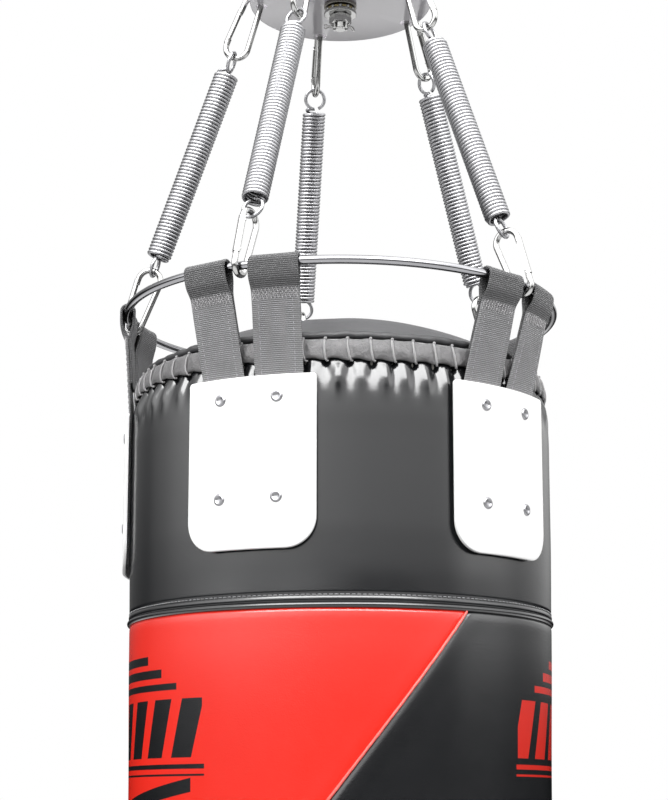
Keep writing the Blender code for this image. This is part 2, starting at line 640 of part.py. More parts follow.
def main():
    clear_scene()
    chrome = material("chrome", (0.78, 0.79, 0.80), 0.12, 1.0)
    steel = material("zinc_steel", (0.62, 0.63, 0.64), 0.28, 1.0)
    spring_steel = material("spring_steel", (0.66, 0.67, 0.69), 0.22, 1.0)
    brass = material("cage_brass", (0.55, 0.43, 0.20), 0.35, 1.0)
    paint = material("plate_paint", (0.58, 0.56, 0.62), 0.22)
    black = material("black_vinyl", (0.035, 0.037, 0.042), 0.42)
    red = material("red_vinyl", (0.80, 0.035, 0.022), 0.36)
    white = material("patch_vinyl", (0.86, 0.86, 0.85), 0.45)
    webbing = material("webbing", (0.22, 0.22, 0.225), 0.85)
    trim = material("hem_vinyl", (0.07, 0.072, 0.078), 0.55)
    textile = material("filling_textile", (0.45, 0.44, 0.42), 0.95)
    build_shackle(steel)
    build_eye_bolt(steel)
    build_plate(paint)
    build_bearing(steel, brass)
    build_castle_nut(steel)
    hang_from_pin()
    build_chains(steel, spring_steel)
    build_ring(chrome)
    build_straps_and_patches(webbing, white, steel)
    build_upper_band(black)
    build_piping("upper_piping", 0, black)
    build_panels(red, black)
    build_piping("lower_piping", LOWER_SEAM, black)
    build_bottom(black)
    build_top(black, trim)
    build_filling(textile)


main()
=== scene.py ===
"""The looks of a heavy punching bag on five springs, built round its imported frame.

Metres, +Z up, the front faces -Y, in the frame's own coordinates. Angles go round the
bag from the front, positive towards +X. "Above seam" counts from the upper piping seam.
A chain is one spring with its two hooks, and it is made in its own frame: the rim of the
plate, X outwards, -Z down the chain.
"""

import json
import math

import bmesh
import bpy
import numpy as np
from mathutils import Matrix, Vector


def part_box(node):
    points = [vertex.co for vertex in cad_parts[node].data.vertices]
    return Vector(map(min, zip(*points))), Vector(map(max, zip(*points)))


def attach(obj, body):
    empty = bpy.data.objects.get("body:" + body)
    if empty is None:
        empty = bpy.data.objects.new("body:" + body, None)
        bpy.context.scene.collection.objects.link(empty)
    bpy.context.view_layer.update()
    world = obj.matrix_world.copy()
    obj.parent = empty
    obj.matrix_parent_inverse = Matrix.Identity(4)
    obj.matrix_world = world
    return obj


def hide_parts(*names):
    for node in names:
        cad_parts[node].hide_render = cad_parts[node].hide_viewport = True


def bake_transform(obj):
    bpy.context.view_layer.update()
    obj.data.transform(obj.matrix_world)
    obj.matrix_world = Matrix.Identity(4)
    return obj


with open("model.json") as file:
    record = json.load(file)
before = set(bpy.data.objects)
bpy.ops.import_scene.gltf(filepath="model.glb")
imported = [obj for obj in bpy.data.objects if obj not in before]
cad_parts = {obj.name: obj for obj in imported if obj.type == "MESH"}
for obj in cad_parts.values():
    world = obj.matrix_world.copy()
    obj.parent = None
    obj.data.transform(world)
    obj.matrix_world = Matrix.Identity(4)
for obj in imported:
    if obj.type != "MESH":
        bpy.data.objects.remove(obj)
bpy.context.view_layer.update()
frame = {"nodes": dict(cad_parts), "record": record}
JOINTS = {joint["name"]: joint for joint in frame["record"]["behaviour"]["joints"]}


def middle(node):
    low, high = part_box(node)
    return (Vector(low) + Vector(high)) / 2


def extent(node):
    low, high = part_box(node)
    return Vector(high) - Vector(low)


def heights(node):
    """The lowest and the highest Z of a CAD node."""
    low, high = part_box(node)
    return low[2], high[2]


# Sizes and places read from the frame
SEAM_Z = middle("upper_piping").z
LOWER_SEAM_Z = middle("lower_piping").z
RING_Z = middle("top_ring").z
RING_ROD = extent("top_ring").z / 2
RING_RADIUS = extent("top_ring").x / 2 - RING_ROD
BAG_RADIUS = extent("black_panel").x / 2
BAND_RADIUS = extent("upper_band").x / 2
SHOULDER_Z = heights("upper_band")[1]
HEM_RADIUS = extent("top_hem").x / 2
HEM_TOP_Z = heights("top_hem")[1]
DOME_RADIUS = extent("top_cover").x / 2
DOME_TOP_Z = heights("top_cover")[1]
BASE_EDGE_Z = heights("lower_band")[0]
BASE_Z = heights("base_panel")[0]
PATCH_LOW_Z, PATCH_HIGH_Z = heights("patch_1")
STRAP_LOW_Z = heights("strap_1_left")[0]
RED_LOW_Z, RED_TOP_Z = heights("red_panel")
PLATE_LOW_Z, PLATE_HIGH_Z = heights("hanger_plate")
PLATE_RADIUS = extent("hanger_plate").x / 2
PIN_Z = middle("shackle_pin").z
NUT_LOW_Z, NUT_HIGH_Z = heights("castle_nut")
STUD_LOW_Z = heights("eye_bolt")[0]

# Sizes that the frame's boxes don't give
CHAINS = range(1, 6)
PIPING_ROD = 0.0023
RED_MIDDLE = math.radians(-82.5)
RED_HALF_WIDTH = math.radians(116.2)
PANEL_LAP = 0.0012
SEAM_GAP = 0.0022
SHELL = 0.0022
STITCHES = 62
SEAM_STITCH_OFFSET = 0.0078
STITCH_SPACING = 0.0042
STITCH_LENGTH = 0.0028
STRAP_WIDTH = 0.038
STRAP = 0.0021
STRAP_EDGE_STITCH = 0.0058
STRAP_DASH = 0.0032
STRAP_DASH_SPACING = 0.0046
ZIGZAG_TEETH = 12
ZIGZAG_HALF_HEIGHT = 0.0021
PATCH_ANGLES = tuple(math.radians(angle) for angle in (-22.9, 46.0, 122.0, 192.0, 264.5))
STRAP_ANGLE_LOW = math.radians(7.5)
STRAP_ANGLE_HIGH = math.radians(9.2)
PATCH_HALF_ANGLE = math.radians(17.2)
PATCH_CORNER = 0.024
PATCH_SMALL_CORNER = 0.003
PATCH = 0.0026
PATCH_LIFT = 0.0035
PATCH_CUT = 0.0025
RIVETS_ABOVE_SEAM = (0.0815, 0.1585)
RIVET_RADIUS = 0.00475
RIVET_DENT = 0.009
HOOK_ROD = 0.0025
HOOK_NARROW = 0.0075
HOOK_WIDE = 0.010
HOOK_LENGTH = 0.0408
GATE_HINGE = -0.0352
GATE_NOSE = -0.0106
UPPER_HOOK_AT = 0.0014
SPRING_WIRE = 0.00155
SPRING_COIL = 0.00925
LOOP_RADIUS = 0.00875
LOOP_GAP = 0.0003
LOOP_POINTS = 40
LOOP_FOOT = (0.0015, 0.0035, 0.0055, 0.0072, 0.0084)
BEND_END = LOOP_POINTS + 12
SPRING_FROM = 0.0684
SPRING_TO = 0.2450
BOW_ROD = 0.005
BOW_HALF_WIDTH = 0.016
EYE_RADIUS = 0.015
STUD_RADIUS = 0.005
THREAD_PITCH = 0.0015
THREAD_DEPTH = 0.0006
PLATE_BORE = 0.0057
PLATE_HOLE_CIRCLE = 0.070
PLATE_HOLE_RADIUS = 0.005
NUT_ACROSS_FLATS = 0.017
RACE_RADIUS = 0.0143
RACE_RIM = 0.0005
BALLS = 11
BALL_CIRCLE = 0.0118
STRAP_FOLD = RING_Z - 0.0235 - STRAP_LOW_Z
CUT_PAST = 0.01


def joint_place(name):
    return Vector(JOINTS[name]["pos_m"])


def joint_axis(name):
    return Vector(JOINTS[name]["axis"]).normalized()


def chain_matrix(chain):
    """The frame that a chain is made in."""
    across = joint_axis(f"chain_tilt_{chain}")
    up = -joint_axis(f"spring_stretch_{chain}")
    turn = Matrix((across.cross(up), across, up)).transposed().to_4x4()
    return Matrix.Translation(joint_place(f"chain_tilt_{chain}")) @ turn


def angle_of(place):
    """The angle round the bag of a place."""
    return math.atan2(place.x, -place.y)


def ring_place(chain):
    """Where a chain's line meets the middle of the ring's rod."""
    down = joint_axis(f"spring_stretch_{chain}")
    place = joint_place(f"chain_tilt_{chain}")
    return place + down * ((RING_Z - place.z) / down.z)


def lower_hook_at(chain):
    """How far down its chain a lower hook's ring end is."""
    return (ring_place(chain) - joint_place(f"chain_tilt_{chain}")).length - 0.0007


UPPER_EYE_AT = UPPER_HOOK_AT + HOOK_LENGTH + HOOK_WIDE


# ---------------------------------------------------------------- materials


class Nodes:
    """A node tree, with short ways to add and join nodes."""

    def __init__(self, tree):
        self.tree = tree

    def add(self, kind, inputs=None, **settings):
        node = self.tree.nodes.new(kind)
        for key, value in settings.items():
            setattr(node, key, value)
        for key, value in (inputs or {}).items():
            self.set(node, key, value)
        return node

    def set(self, node, key, value):
        if isinstance(value, bpy.types.NodeSocket):
            self.tree.links.new(value, node.inputs[key])
        else:
            node.inputs[key].default_value = value

    def math(self, operation, first, second=0.5, clamp=False):
        settings = {"operation": operation, "use_clamp": clamp}
        return self.add("ShaderNodeMath", {0: first, 1: second}, **settings).outputs[0]

    def plus(self, first, second):
        return self.math("ADD", first, second)

    def minus(self, first, second):
        return self.math("SUBTRACT", first, second)

    def times(self, first, second):
        return self.math("MULTIPLY", first, second)

    def spread(self, value, low, high):
        """A value from 0 to 1 spread over low to high."""
        inputs = {"Value": value, "To Min": low, "To Max": high}
        return self.add("ShaderNodeMapRange", inputs).outputs[0]

    def share(self, value, low, high, most=1.0):
        """How far a value is from low to high, as 0 to most."""
        inputs = {"Value": value, "From Min": low, "From Max": high, "To Max": most}
        return self.add("ShaderNodeMapRange", inputs).outputs[0]

    def ramp(self, value, stops):
        """A brightness read off (place, brightness) stops."""
        node = self.add("ShaderNodeValToRGB", {"Fac": value})
        elements = node.color_ramp.elements
        while len(elements) < len(stops):
            elements.new(0.5)
        for element, (place, light) in zip(elements, stops):
            element.position = place
            element.color = (light, light, light, 1)
        return node.outputs[0]


class Finish(Nodes):
    """A material's nodes. place is the object's own metres."""

    def __init__(self, name):
        self.material = bpy.data.materials.new(name)
        self.material.use_nodes = True
        super().__init__(self.material.node_tree)
        self.shader = self.tree.nodes["Principled BSDF"]
        self.place = self.add("ShaderNodeTexCoord").outputs["Object"]

    def flat(self):
        """The UV map's two directions, in metres."""
        flat = self.add("ShaderNodeUVMap", uv_map="metres").outputs[0]
        parts = self.add("ShaderNodeSeparateXYZ", {0: flat}).outputs
        return parts[0], parts[1]

    def noise(self, scale, detail=3, roughness=0.55):
        inputs = {"Vector": self.place, "Scale": scale, "Detail": detail, "Roughness": roughness}
        return self.add("ShaderNodeTexNoise", inputs).outputs["Fac"]

    def mix(self, factor, first, second):
        node = self.add("ShaderNodeMix", {0: factor}, data_type="RGBA")
        for key, value in ((6, first), (7, second)):
            self.set(node, key, value if isinstance(value, bpy.types.NodeSocket) else (*value, 1))
        return node.outputs[2]

    def clouded(self, factor, colour, darker, lighter=1.0, lift=0.0):
        """Between a darker and a lighter shade of a colour."""
        light = tuple(min(part * lighter + lift, 1) for part in colour)
        return self.mix(factor, dimmed(colour, darker), light)

    def bump(self, height, distance, strength=1.0, under=None):
        inputs = {"Height": height, "Distance": distance, "Strength": strength}
        if under is not None:
            inputs["Normal"] = under
        return self.add("ShaderNodeBump", inputs).outputs["Normal"]

    def leather(self, grain, strength):
        """Fine pores over a faint, slower unevenness."""
        pores = self.add("ShaderNodeTexVoronoi", {"Vector": self.place, "Scale": 900})
        height = self.plus(pores.outputs["Distance"], self.times(self.noise(2600, 2), 0.4))
        return self.bump(self.noise(24, 2), 0.0003, 0.15, self.bump(height, grain, strength))

    def done(self, colour=None, roughness=None, normal=None, **fixed):
        """The material. fixed holds the shader's other inputs, with _ for a space."""
        for key, value in (("Base Color", colour), ("Roughness", roughness), ("Normal", normal)):
            if value is not None:
                self.set(self.shader, key, value)
        for key, value in fixed.items():
            self.set(self.shader, key.replace("_", " "), value)
        return self.material


def dimmed(colour, share):
    return tuple(part * share for part in colour)


def vinyl(name, colour, rough, grain=0.00012):
    """Coated vinyl: fine leather grain, soft cloudy shade and a little wear in its gloss."""
    nodes = Finish(name)
    shade = nodes.clouded(nodes.spread(nodes.noise(7, 4), 0.1, 0.9), colour, 0.86, 1.12, 0.002)
    gloss = nodes.spread(nodes.noise(60, 5, 0.7), rough - 0.05, rough + 0.07)
    return nodes.done(shade, gloss, nodes.leather(grain, 0.55))


# The generic print. A block is its middle above the seam, its half height and its half width.
PRINT_BAND = (-0.0888, 0.0225, 0.140)
PRINT_BARS = ((-0.0355, 0.0036, 0.070), (-0.0465, 0.0036, 0.092), (-0.0570, 0.0028, 0.112))
PRINT_LINES = ((-0.1178, 0.0020, 0.142), (-0.1242, 0.0010, 0.142))
PRINT_SLOPE, PRINT_SLOPING_LINE = 0.16, (-0.152, 0.0055, 0.128)
SLASH_SLANT, SLASH_SPACING, SLASH_HALF = -0.30, 0.036, 0.33
PRINT_EDGE, SLASH_EDGE = 2500, 90


def emblem_vinyl(name, colour, print_colour, rough):
    """Vinyl with a generic printed block: stacked bars, a band of slashes and three lines.

    The UV map holds metres round the bag from the print's middle, and metres above the seam.
    """
    nodes = Finish(name)
    across, up = nodes.flat()

    def within(value, middle, half):
        away = nodes.math("ABSOLUTE", nodes.minus(value, middle))
        return nodes.math("MULTIPLY", nodes.minus(half, away), PRINT_EDGE, clamp=True)

    def block(height, middle_up, half_up, half_across):
        return nodes.times(within(height, middle_up, half_up), within(across, 0, half_across))

    slashed = nodes.plus(nodes.plus(across, nodes.times(up, SLASH_SLANT)), 3)
    phase = nodes.math("FRACT", nodes.math("DIVIDE", slashed, SLASH_SPACING))
    away = nodes.math("ABSOLUTE", nodes.minus(phase, 0.5))
    slashes = nodes.math("MULTIPLY", nodes.minus(SLASH_HALF, away), SLASH_EDGE, clamp=True)
    ink = nodes.times(slashes, block(up, *PRINT_BAND))
    leaning = nodes.minus(up, nodes.times(across, PRINT_SLOPE))
    shapes = [block(up, *bar) for bar in PRINT_BARS + PRINT_LINES]
    for shape in shapes + [block(leaning, *PRINT_SLOPING_LINE)]:
        ink = nodes.math("MAXIMUM", ink, shape)
    soft = nodes.spread(nodes.noise(7, 4), 0.1, 0.9)
    plain = nodes.clouded(soft, colour, 0.90, 1.08, 0.002)
    printed = nodes.clouded(soft, print_colour, 0.90, 1.08, 0.002)
    gloss = nodes.spread(nodes.noise(60, 5, 0.7), rough - 0.04, rough + 0.06)
    return nodes.done(nodes.mix(ink, plain, printed), gloss, nodes.leather(0.00010, 0.45))


def metal(name, colour, rough, scratches=0.5, stain=0.0):
    """Bare or plated metal: fine scratches, a stained shade and an uneven gloss."""
    nodes = Finish(name)
    cloud = nodes.noise(90, 5, 0.65)
    gloss = nodes.spread(cloud, rough - 0.05, rough + 0.10)
    normal = nodes.bump(nodes.noise(1400, 2), 0.00004, scratches)
    return nodes.done(nodes.clouded(cloud, colour, 0.80 - stain), gloss, normal, Metallic=1.0)


def painted(name, colour, rough):
    """Smooth paint with a faint orange peel and a clear glossy coat."""
    nodes = Finish(name)
    shade = nodes.clouded(nodes.noise(22, 4), colour, 0.93)
    gloss = nodes.spread(nodes.noise(130, 4), rough - 0.04, rough + 0.08)
    normal = nodes.bump(nodes.noise(420, 2), 0.00008, 0.4)
    return nodes.done(shade, gloss, normal, Coat_Weight=0.6, Coat_Roughness=0.08)


def webbing(name, colour, rib):
    """Woven webbing: cross ribs, offset yarns, a fuzzy shade, and painted shade with some worn
    colour on its loop round the ring.

    The UV map holds metres across the strap and metres along it.
    """
    nodes = Finish(name)
    across, along = nodes.flat()
    rows = nodes.math("SINE", nodes.times(along, math.tau / rib))
    shift = nodes.times(nodes.math("SIGN", rows), math.pi / 2)
    columns = nodes.math("SINE", nodes.plus(nodes.times(across, math.tau / (0.8 * rib)), shift))
    weave = nodes.times(nodes.math("ABSOLUTE", rows), nodes.spread(columns, 0.80, 1.0))
    height = nodes.plus(weave, nodes.times(nodes.noise(620, 4, 0.8), 0.9))
    worn = nodes.times(nodes.noise(75, 4, 0.7), nodes.noise(45, 3))
    shade = nodes.clouded(nodes.math("POWER", weave, 0.7), colour, 0.28, 1.45)
    shade = nodes.mix(nodes.spread(worn, 0.0, 1.1), shade, dimmed(colour, 0.45))
    # Painted shade, with some worn colour: past its zigzag the strap, round the ring and in its
    # tail, is mixed darker.
    fold = nodes.share(along, STRAP_FOLD, STRAP_FOLD + 0.004, 0.62)
    shade = nodes.mix(fold, shade, dimmed(colour, 0.18))
    sheen = {"Sheen_Weight": 0.12, "Sheen_Roughness": 0.5}
    normal = nodes.bump(height, 0.0006)
    return nodes.done(shade, 0.88, normal, Specular_IOR_Level=0.25, **sheen)


def felt(name, colour):
    """Matt coated fabric: fine speckle, small creases and darker blotches."""
    nodes = Finish(name)
    speckle = nodes.noise(700, 4, 0.75)
    shade = nodes.clouded(speckle, colour, 0.55, 1.45)
    shade = nodes.mix(nodes.spread(nodes.noise(38, 3), 0.0, 0.7), shade, dimmed(colour, 0.55))
    height = nodes.plus(nodes.noise(120, 4, 0.6), nodes.times(speckle, 0.3))
    return nodes.done(shade, 0.55, nodes.bump(height, 0.0014), Sheen_Weight=0.1)


def cord(name, colour):
    """Twisted cord: slanting strands along the length of each stitch."""
    nodes = Finish(name)
    inputs = {"Vector": nodes.place, "Scale": 260, "Distortion": 3.0}
    strands = nodes.add("ShaderNodeTexWave", inputs).outputs["Fac"]
    shade = nodes.clouded(strands, colour, 0.6)
    return nodes.done(shade, 0.75, nodes.bump(strands, 0.0002, 0.8), Sheen_Weight=0.25)


BLACK_SHADE = (0.0090, 0.0096, 0.0108)
RED_SHADE = (0.80, 0.021, 0.010)
BLACK = vinyl("black_vinyl", BLACK_SHADE, 0.16, 0.00004)
COVER = vinyl("cover_vinyl", (0.024, 0.024, 0.027), 0.36, 0.00010)
# Darker than the black vinyl: painted shadow for the gap between the hem and the cover.
PAINTED_SHADOW_BLACK = vinyl("painted_shadow_vinyl", (0.006, 0.006, 0.007), 0.62, 0.00010)
WHITE = vinyl("white_vinyl", (0.88, 0.88, 0.875), 0.42)
RED = emblem_vinyl("red_vinyl", RED_SHADE, BLACK_SHADE, 0.18)
BLACK_MARKED = emblem_vinyl("marked_black_vinyl", BLACK_SHADE, (0.62, 0.022, 0.013), 0.16)
# A paler, pinker red than the panels: a painted highlight along the slanted seams.
RED_EDGE_PAINTED_HIGHLIGHT = vinyl("red_edge_painted_highlight", (0.84, 0.12, 0.10), 0.42)
ZINC = metal("zinc_steel", (0.37, 0.37, 0.365), 0.20, 0.05)
BRIGHT = metal("spring_steel", (0.33, 0.33, 0.34), 0.38, 0.02)
CHROME = metal("ring_chrome", (0.25, 0.25, 0.26), 0.10, 0.1)
RIVET = metal("rivet_steel", (0.24, 0.24, 0.25), 0.30)
BRASS = metal("cage_brass", (0.42, 0.35, 0.18), 0.30, 0.6, 0.2)
DARK_STEEL = metal("bearing_steel", (0.22, 0.21, 0.19), 0.32, 0.5, 0.2)
PAINT = painted("plate_paint", (0.84, 0.81, 0.86), 0.20)
WEBBING = webbing("webbing", (0.255, 0.255, 0.26), 0.0031)
HEM = felt("hem_fabric", (0.092, 0.090, 0.092))
THREAD = cord("stitch_thread", (0.36, 0.36, 0.37))
PALE_THREAD = cord("pale_thread", (0.55, 0.54, 0.55))
LACING = cord("lacing_cord", (0.42, 0.415, 0.42))


# ---------------------------------------------------------------- mesh tools


def linked(name, data):
    made = bpy.data.objects.new(name, data)
    bpy.context.scene.collection.objects.link(made)
    return made


def smoothed(made, sharp):
    made.data.shade_smooth()
    made.data.set_sharp_from_angle(angle=math.radians(sharp))
    return made


def make_object(name, verts, faces, material, uvs=None, sharp=40):
    """An object from vertices and faces, shaded smooth. uvs holds one pair per face corner."""
    mesh = bpy.data.meshes.new(name)
    places = [tuple(map(float, vert)) for vert in verts]
    mesh.from_pydata(places, [], [tuple(map(int, face)) for face in faces])
    if uvs is not None:
        layer = mesh.uv_layers.new(name="metres")
        layer.data.foreach_set("uv", np.asarray(uvs, dtype=np.float32).ravel())
    mesh.materials.append(material)
    return smoothed(linked(name, mesh), sharp)


def put(made, body, slot, *nodes):
    """The piece rides on a body and stands for the CAD nodes named. slot is not used."""
    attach(made, body)
    if nodes:
        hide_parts(*nodes)
    return made


def edited(made, edit):
    """Runs an edit on the object's mesh."""
    bm = bmesh.new()
    bm.from_mesh(made.data)
    edit(bm)
    bm.to_mesh(made.data)
    bm.free()
    return made


def modified(made, kind, **settings):
    modifier = made.modifiers.new(kind.lower(), kind)
    for key, value in settings.items():
        setattr(modifier, key, value)
    return made


def bevelled(made, width):
    limit = {"limit_method": "ANGLE", "angle_limit": math.radians(30)}
    return modified(made, "BEVEL", width=width, segments=2, **limit)


def carved(made, cutters, operation="DIFFERENCE"):
    """Applies Booleans with the cutters, then removes them."""
    for cutter in cutters:
        modified(made, "BOOLEAN", operation=operation, solver="EXACT", object=cutter)
    bpy.context.view_layer.update()
    graph = bpy.context.evaluated_depsgraph_get()
    mesh = bpy.data.meshes.new_from_object(made.evaluated_get(graph))
    made.modifiers.clear()
    made.data = mesh
    for cutter in cutters:
        bpy.data.objects.remove(cutter, do_unlink=True)
    return made


def moved(made, matrix):
    made.data.transform(matrix)
    made.data.update()
    return made


def tidy(made, distance=1e-5):
    """Welds points that meet, drops faces with no area and turns the faces outwards."""

    def clean(bm):
        bmesh.ops.remove_doubles(bm, verts=bm.verts, dist=distance)
        bmesh.ops.dissolve_degenerate(bm, edges=bm.edges, dist=distance / 10)
        bmesh.ops.recalc_face_normals(bm, faces=bm.faces)

    return edited(made, clean)


def sheet_faces(rows, columns, around):
    """Quads of a grid of rows and columns. around joins the last column to the first."""
    spans = columns if around else columns - 1
    row, column = np.meshgrid(np.arange(rows - 1), np.arange(spans), indexing="ij")
    after = (column + 1) % columns
    corners = [(row, column), (row, after), (row + 1, after), (row + 1, column)]
    return np.stack([down * columns + side for down, side in corners], -1).reshape(-1, 4)


def looped_faces(rows, columns):
    """Quads of a grid that closes both ways."""
    return (sheet_faces(rows + 1, columns, True) % (rows * columns)).tolist()


def swept_faces(rows, columns):
    """Faces of a swept section with both ends closed."""
    first, last = list(range(columns)), list(range((rows - 1) * columns, rows * columns))
    return sheet_faces(rows, columns, True).tolist() + [first[::-1], last]


def sheet(name, points, material, around=False, metres=None, sharp=40):
    """A surface through a grid of points. metres holds UVs, one column more when around."""
    rows, columns = points.shape[:2]
    uvs = None
    if metres is not None:
        uvs = metres.reshape(-1, 2)[sheet_faces(rows, metres.shape[1], False)]
    faces = sheet_faces(rows, columns, around)
    return make_object(name, points.reshape(-1, 3), faces, material, uvs, sharp)


def shell(name, points, material, node, around=True, metres=None, slot="black_vinyl"):
    """A sheet of vinyl with its thickness, in place of a node of the bag."""
    made = sheet(name, points, material, around, metres)
    return put(modified(made, "SOLIDIFY", thickness=SHELL, offset=-1), "bag", slot, node)


def full_turn(steps):
    return np.linspace(0, math.tau, steps, endpoint=False)


def round_points(radius, angle, height):
    return np.stack([radius * np.sin(angle), -radius * np.cos(angle), height + 0 * angle], -1)


def tube_arrays(points, radius, sides, closed=False, flat=1.0):
    """Vertices and faces of a round tube along points. flat squashes its second axis."""
    points = np.asarray(points, dtype=float)
    count = len(points)
    if closed:
        along = np.roll(points, -1, 0) - np.roll(points, 1, 0)
    else:
        along = np.gradient(points, axis=0)
    along /= np.linalg.norm(along, axis=1)[:, None]
    side = np.cross(along[0], [0.0, 0.0, 1.0] if abs(along[0][2]) < 0.9 else [1.0, 0.0, 0.0])
    sides_along = []
    for direction in along:
        side = side - direction * np.dot(side, direction)
        side /= np.linalg.norm(side)
        sides_along.append(side.copy())
    first = np.array(sides_along)
    second = np.cross(along, first)
    radii = np.broadcast_to(np.asarray(radius, dtype=float), (count,))[:, None, None]
    turn = full_turn(sides)[None, :, None]
    reach = np.cos(turn) * first[:, None, :] + flat * np.sin(turn) * second[:, None, :]
    rings = points[:, None, :] + radii * reach
    faces = looped_faces(count, sides) if closed else swept_faces(count, sides)
    return rings.reshape(-1, 3), faces


def lathe_arrays(profile, segments):
    """Vertices and faces of a closed (radius, height) profile turned round the Z axis."""
    angle = full_turn(segments)
    points = np.stack([round_points(max(radius, 1e-6), angle, up) for radius, up in profile])
    return points.reshape(-1, 3), looped_faces(len(profile), segments)


def lathe(name, profile, segments, material):
    verts, faces = lathe_arrays(profile, segments)
    return tidy(make_object(name, verts, faces, material, None, 35))


def joined(name, pieces, material, sharp=40):
    """One object from several (vertices, faces) pairs."""
    all_faces = []
    offset = 0
    for verts, faces in pieces:
        all_faces += [[index + offset for index in face] for face in faces]
        offset += len(verts)
    all_verts = np.concatenate([verts for verts, _ in pieces])
    return make_object(name, all_verts, all_faces, material, None, sharp)


def arc(centre, radius, start, end, steps):
    angles = [math.radians(start + (end - start) * step / steps) for step in range(steps + 1)]
    return [(centre[0] + radius * math.cos(a), centre[1] + radius * math.sin(a)) for a in angles]


def rod_profile(radius, low, high):
    return [(0, low), (radius, low), (radius, high), (0, high)]


def rounded_rim(outer, low, high, rim, steps):
    lower = arc((outer - rim, low + rim), rim, 270, 360, steps)
    return lower + arc((outer - rim, high - rim), rim, 0, 90, steps)


def length_along(points):
    steps = np.linalg.norm(np.diff(points, axis=0), axis=1)
    return np.concatenate([[0], np.cumsum(steps)])


def resample(points, spacing):
    """Points at an even spacing on a smooth curve through the given ones."""
    points = np.asarray(points, dtype=float)
    for _ in range(3):
        finer = [points[0]]
        for first, second in zip(points, points[1:]):
            finer += [0.75 * first + 0.25 * second, 0.25 * first + 0.75 * second]
        points = np.array(finer + [points[-1]])
    lengths = length_along(points)
    wanted = np.linspace(0, lengths[-1], int(lengths[-1] / spacing) + 1)
    return np.stack([np.interp(wanted, lengths, axis) for axis in points.T], -1)


def hump(value, width):
    """1 at 0, falling smoothly to each side over the width."""
    return np.exp(-((value / width) ** 2))


def smooth_step(low, high, value):
    part = np.clip((value - low) / (high - low), 0, 1)
    return part * part * (3 - 2 * part)


def smooth_curve(value, places, levels):
    """A value read off a curve through the levels, its corners rounded off."""
    steps = np.linspace(-0.004, 0.004, 9)
    return sum(np.interp(value + step, places, levels) for step in steps) / len(steps)


def waves(seed, angle, height=0.0):
    """Soft unevenness of packed vinyl, the same on every run, about 1 high."""
    random = np.random.default_rng(seed)
    total = 0 * angle + 0 * height
    for order in (2, 3, 5, 8, 11, 14):
        phase, tilt = random.uniform(0, math.tau), random.uniform(-9, 9)
        drift = random.uniform(4, 16)
        wave = np.sin(order * angle + tilt * height + phase) * np.cos(drift * height + phase)
        total = total + wave / order**0.5
    return total / 2.2


def round_gap(angle, centre):
    """The signed angle from centre to angle, within half a turn."""
    return (angle - centre + math.pi) % math.tau - math.pi


# ---------------------------------------------------------------- the bag's shell

STITCH_SCATTER = np.random.default_rng(7).normal(0, 0.006, STITCHES)
STITCH_ANGLES = math.tau * (np.arange(STITCHES) + 0.40) / STITCHES + STITCH_SCATTER
BAND_HEIGHTS = (0.0, 0.03, 0.060, 0.100, 0.132, 0.148, 0.160, 0.172, 0.182)
BAND_RADII = (0.1755, BAND_RADIUS, BAND_RADIUS, 0.1759, 0.1760, 0.1757, 0.1745, 0.1723, 0.1700)
SLANT = math.atan2(RED_HALF_WIDTH * BAG_RADIUS, RED_TOP_Z - RED_LOW_Z)


def gathers(angle, below):
    """Folds that run down from the lacing. below is metres under the hem, angle in radians.

    The vinyl is pulled in at every stitch and bulges in a pleat between stitches. Smaller
    creases lie anywhere.
    """
    random = np.random.default_rng(11)
    total = 0 * angle + 0 * below
    for centre in STITCH_ANGLES:
        depth, length = random.uniform(0.0024, 0.0036), random.uniform(0.026, 0.044)
        drift = random.normal(0, 0.25)
        down = np.clip(below / length, 0, 1)
        width = np.radians(0.8) + np.radians(1.3) * down
        fold = hump(round_gap(angle, centre + drift * below), width)
        total = total - depth * np.clip(1 - below / length, 0, 1) ** 1.8 * fold
        pit = hump(round_gap(angle, centre), math.radians(0.42)) * hump(below - 0.0022, 0.0022)
        total = total - 0.0022 * pit
        crest = round_gap(angle, centre + math.radians(2.9) + random.normal(0, 0.008))
        swell = random.uniform(0.0012, 0.0030) * hump(below - 0.013, 0.011)
        total = total + swell * hump(crest, math.radians(1.5))
    for _ in range(STITCHES * 2):
        centre, depth = random.uniform(0, math.tau), random.uniform(0.0002, 0.0008)
        length, drift = random.uniform(0.014, 0.040), random.normal(0, 0.9)
        narrow = np.radians(random.uniform(0.4, 1.0))
        width = narrow + np.radians(1.0) * np.clip(below / length, 0, 1)
        crease = hump(round_gap(angle, centre + drift * below), width)
        total = total - depth * np.clip(1 - below / length, 0, 1) ** 1.3 * crease
    return total


def build_upper_band():
    """The black band, pulled into gathers under the lacing and stitched above the piping."""
    spans = ((SEAM_GAP, 0.012, 12), (0.014, 0.135, 26), (0.137, 0.1885, 46))
    height = np.concatenate([np.linspace(*span) for span in spans])[:, None]
    angle = full_turn(1800)[None, :]
    shoulder = SHOULDER_Z - SEAM_Z
    places = (*BAND_HEIGHTS, shoulder + 0.001)
    radius = smooth_curve(height, places, (BAG_RADIUS, *BAND_RADII)) + 0 * angle
    radius = radius + gathers(angle, shoulder - height)
    radius = radius + 0.0005 * waves(3, angle, height) * smooth_step(0.0, 0.03, height)
    groove, fold = hump(height - SEAM_STITCH_OFFSET, 0.0011), hump(height - 0.0045, 0.0022)
    radius = radius - 0.0009 * groove + 0.0006 * fold
    shell("upper_band_skin", round_points(radius, angle, SEAM_Z + height), BLACK, "upper_band")


def hoop(name, points, rod, sides, material, slot, *nodes):
    """A closed rod round the bag."""
    pieces = [tube_arrays(points, rod, sides, closed=True)]
    put(joined(name, pieces, material, 60), "bag", slot, *nodes)


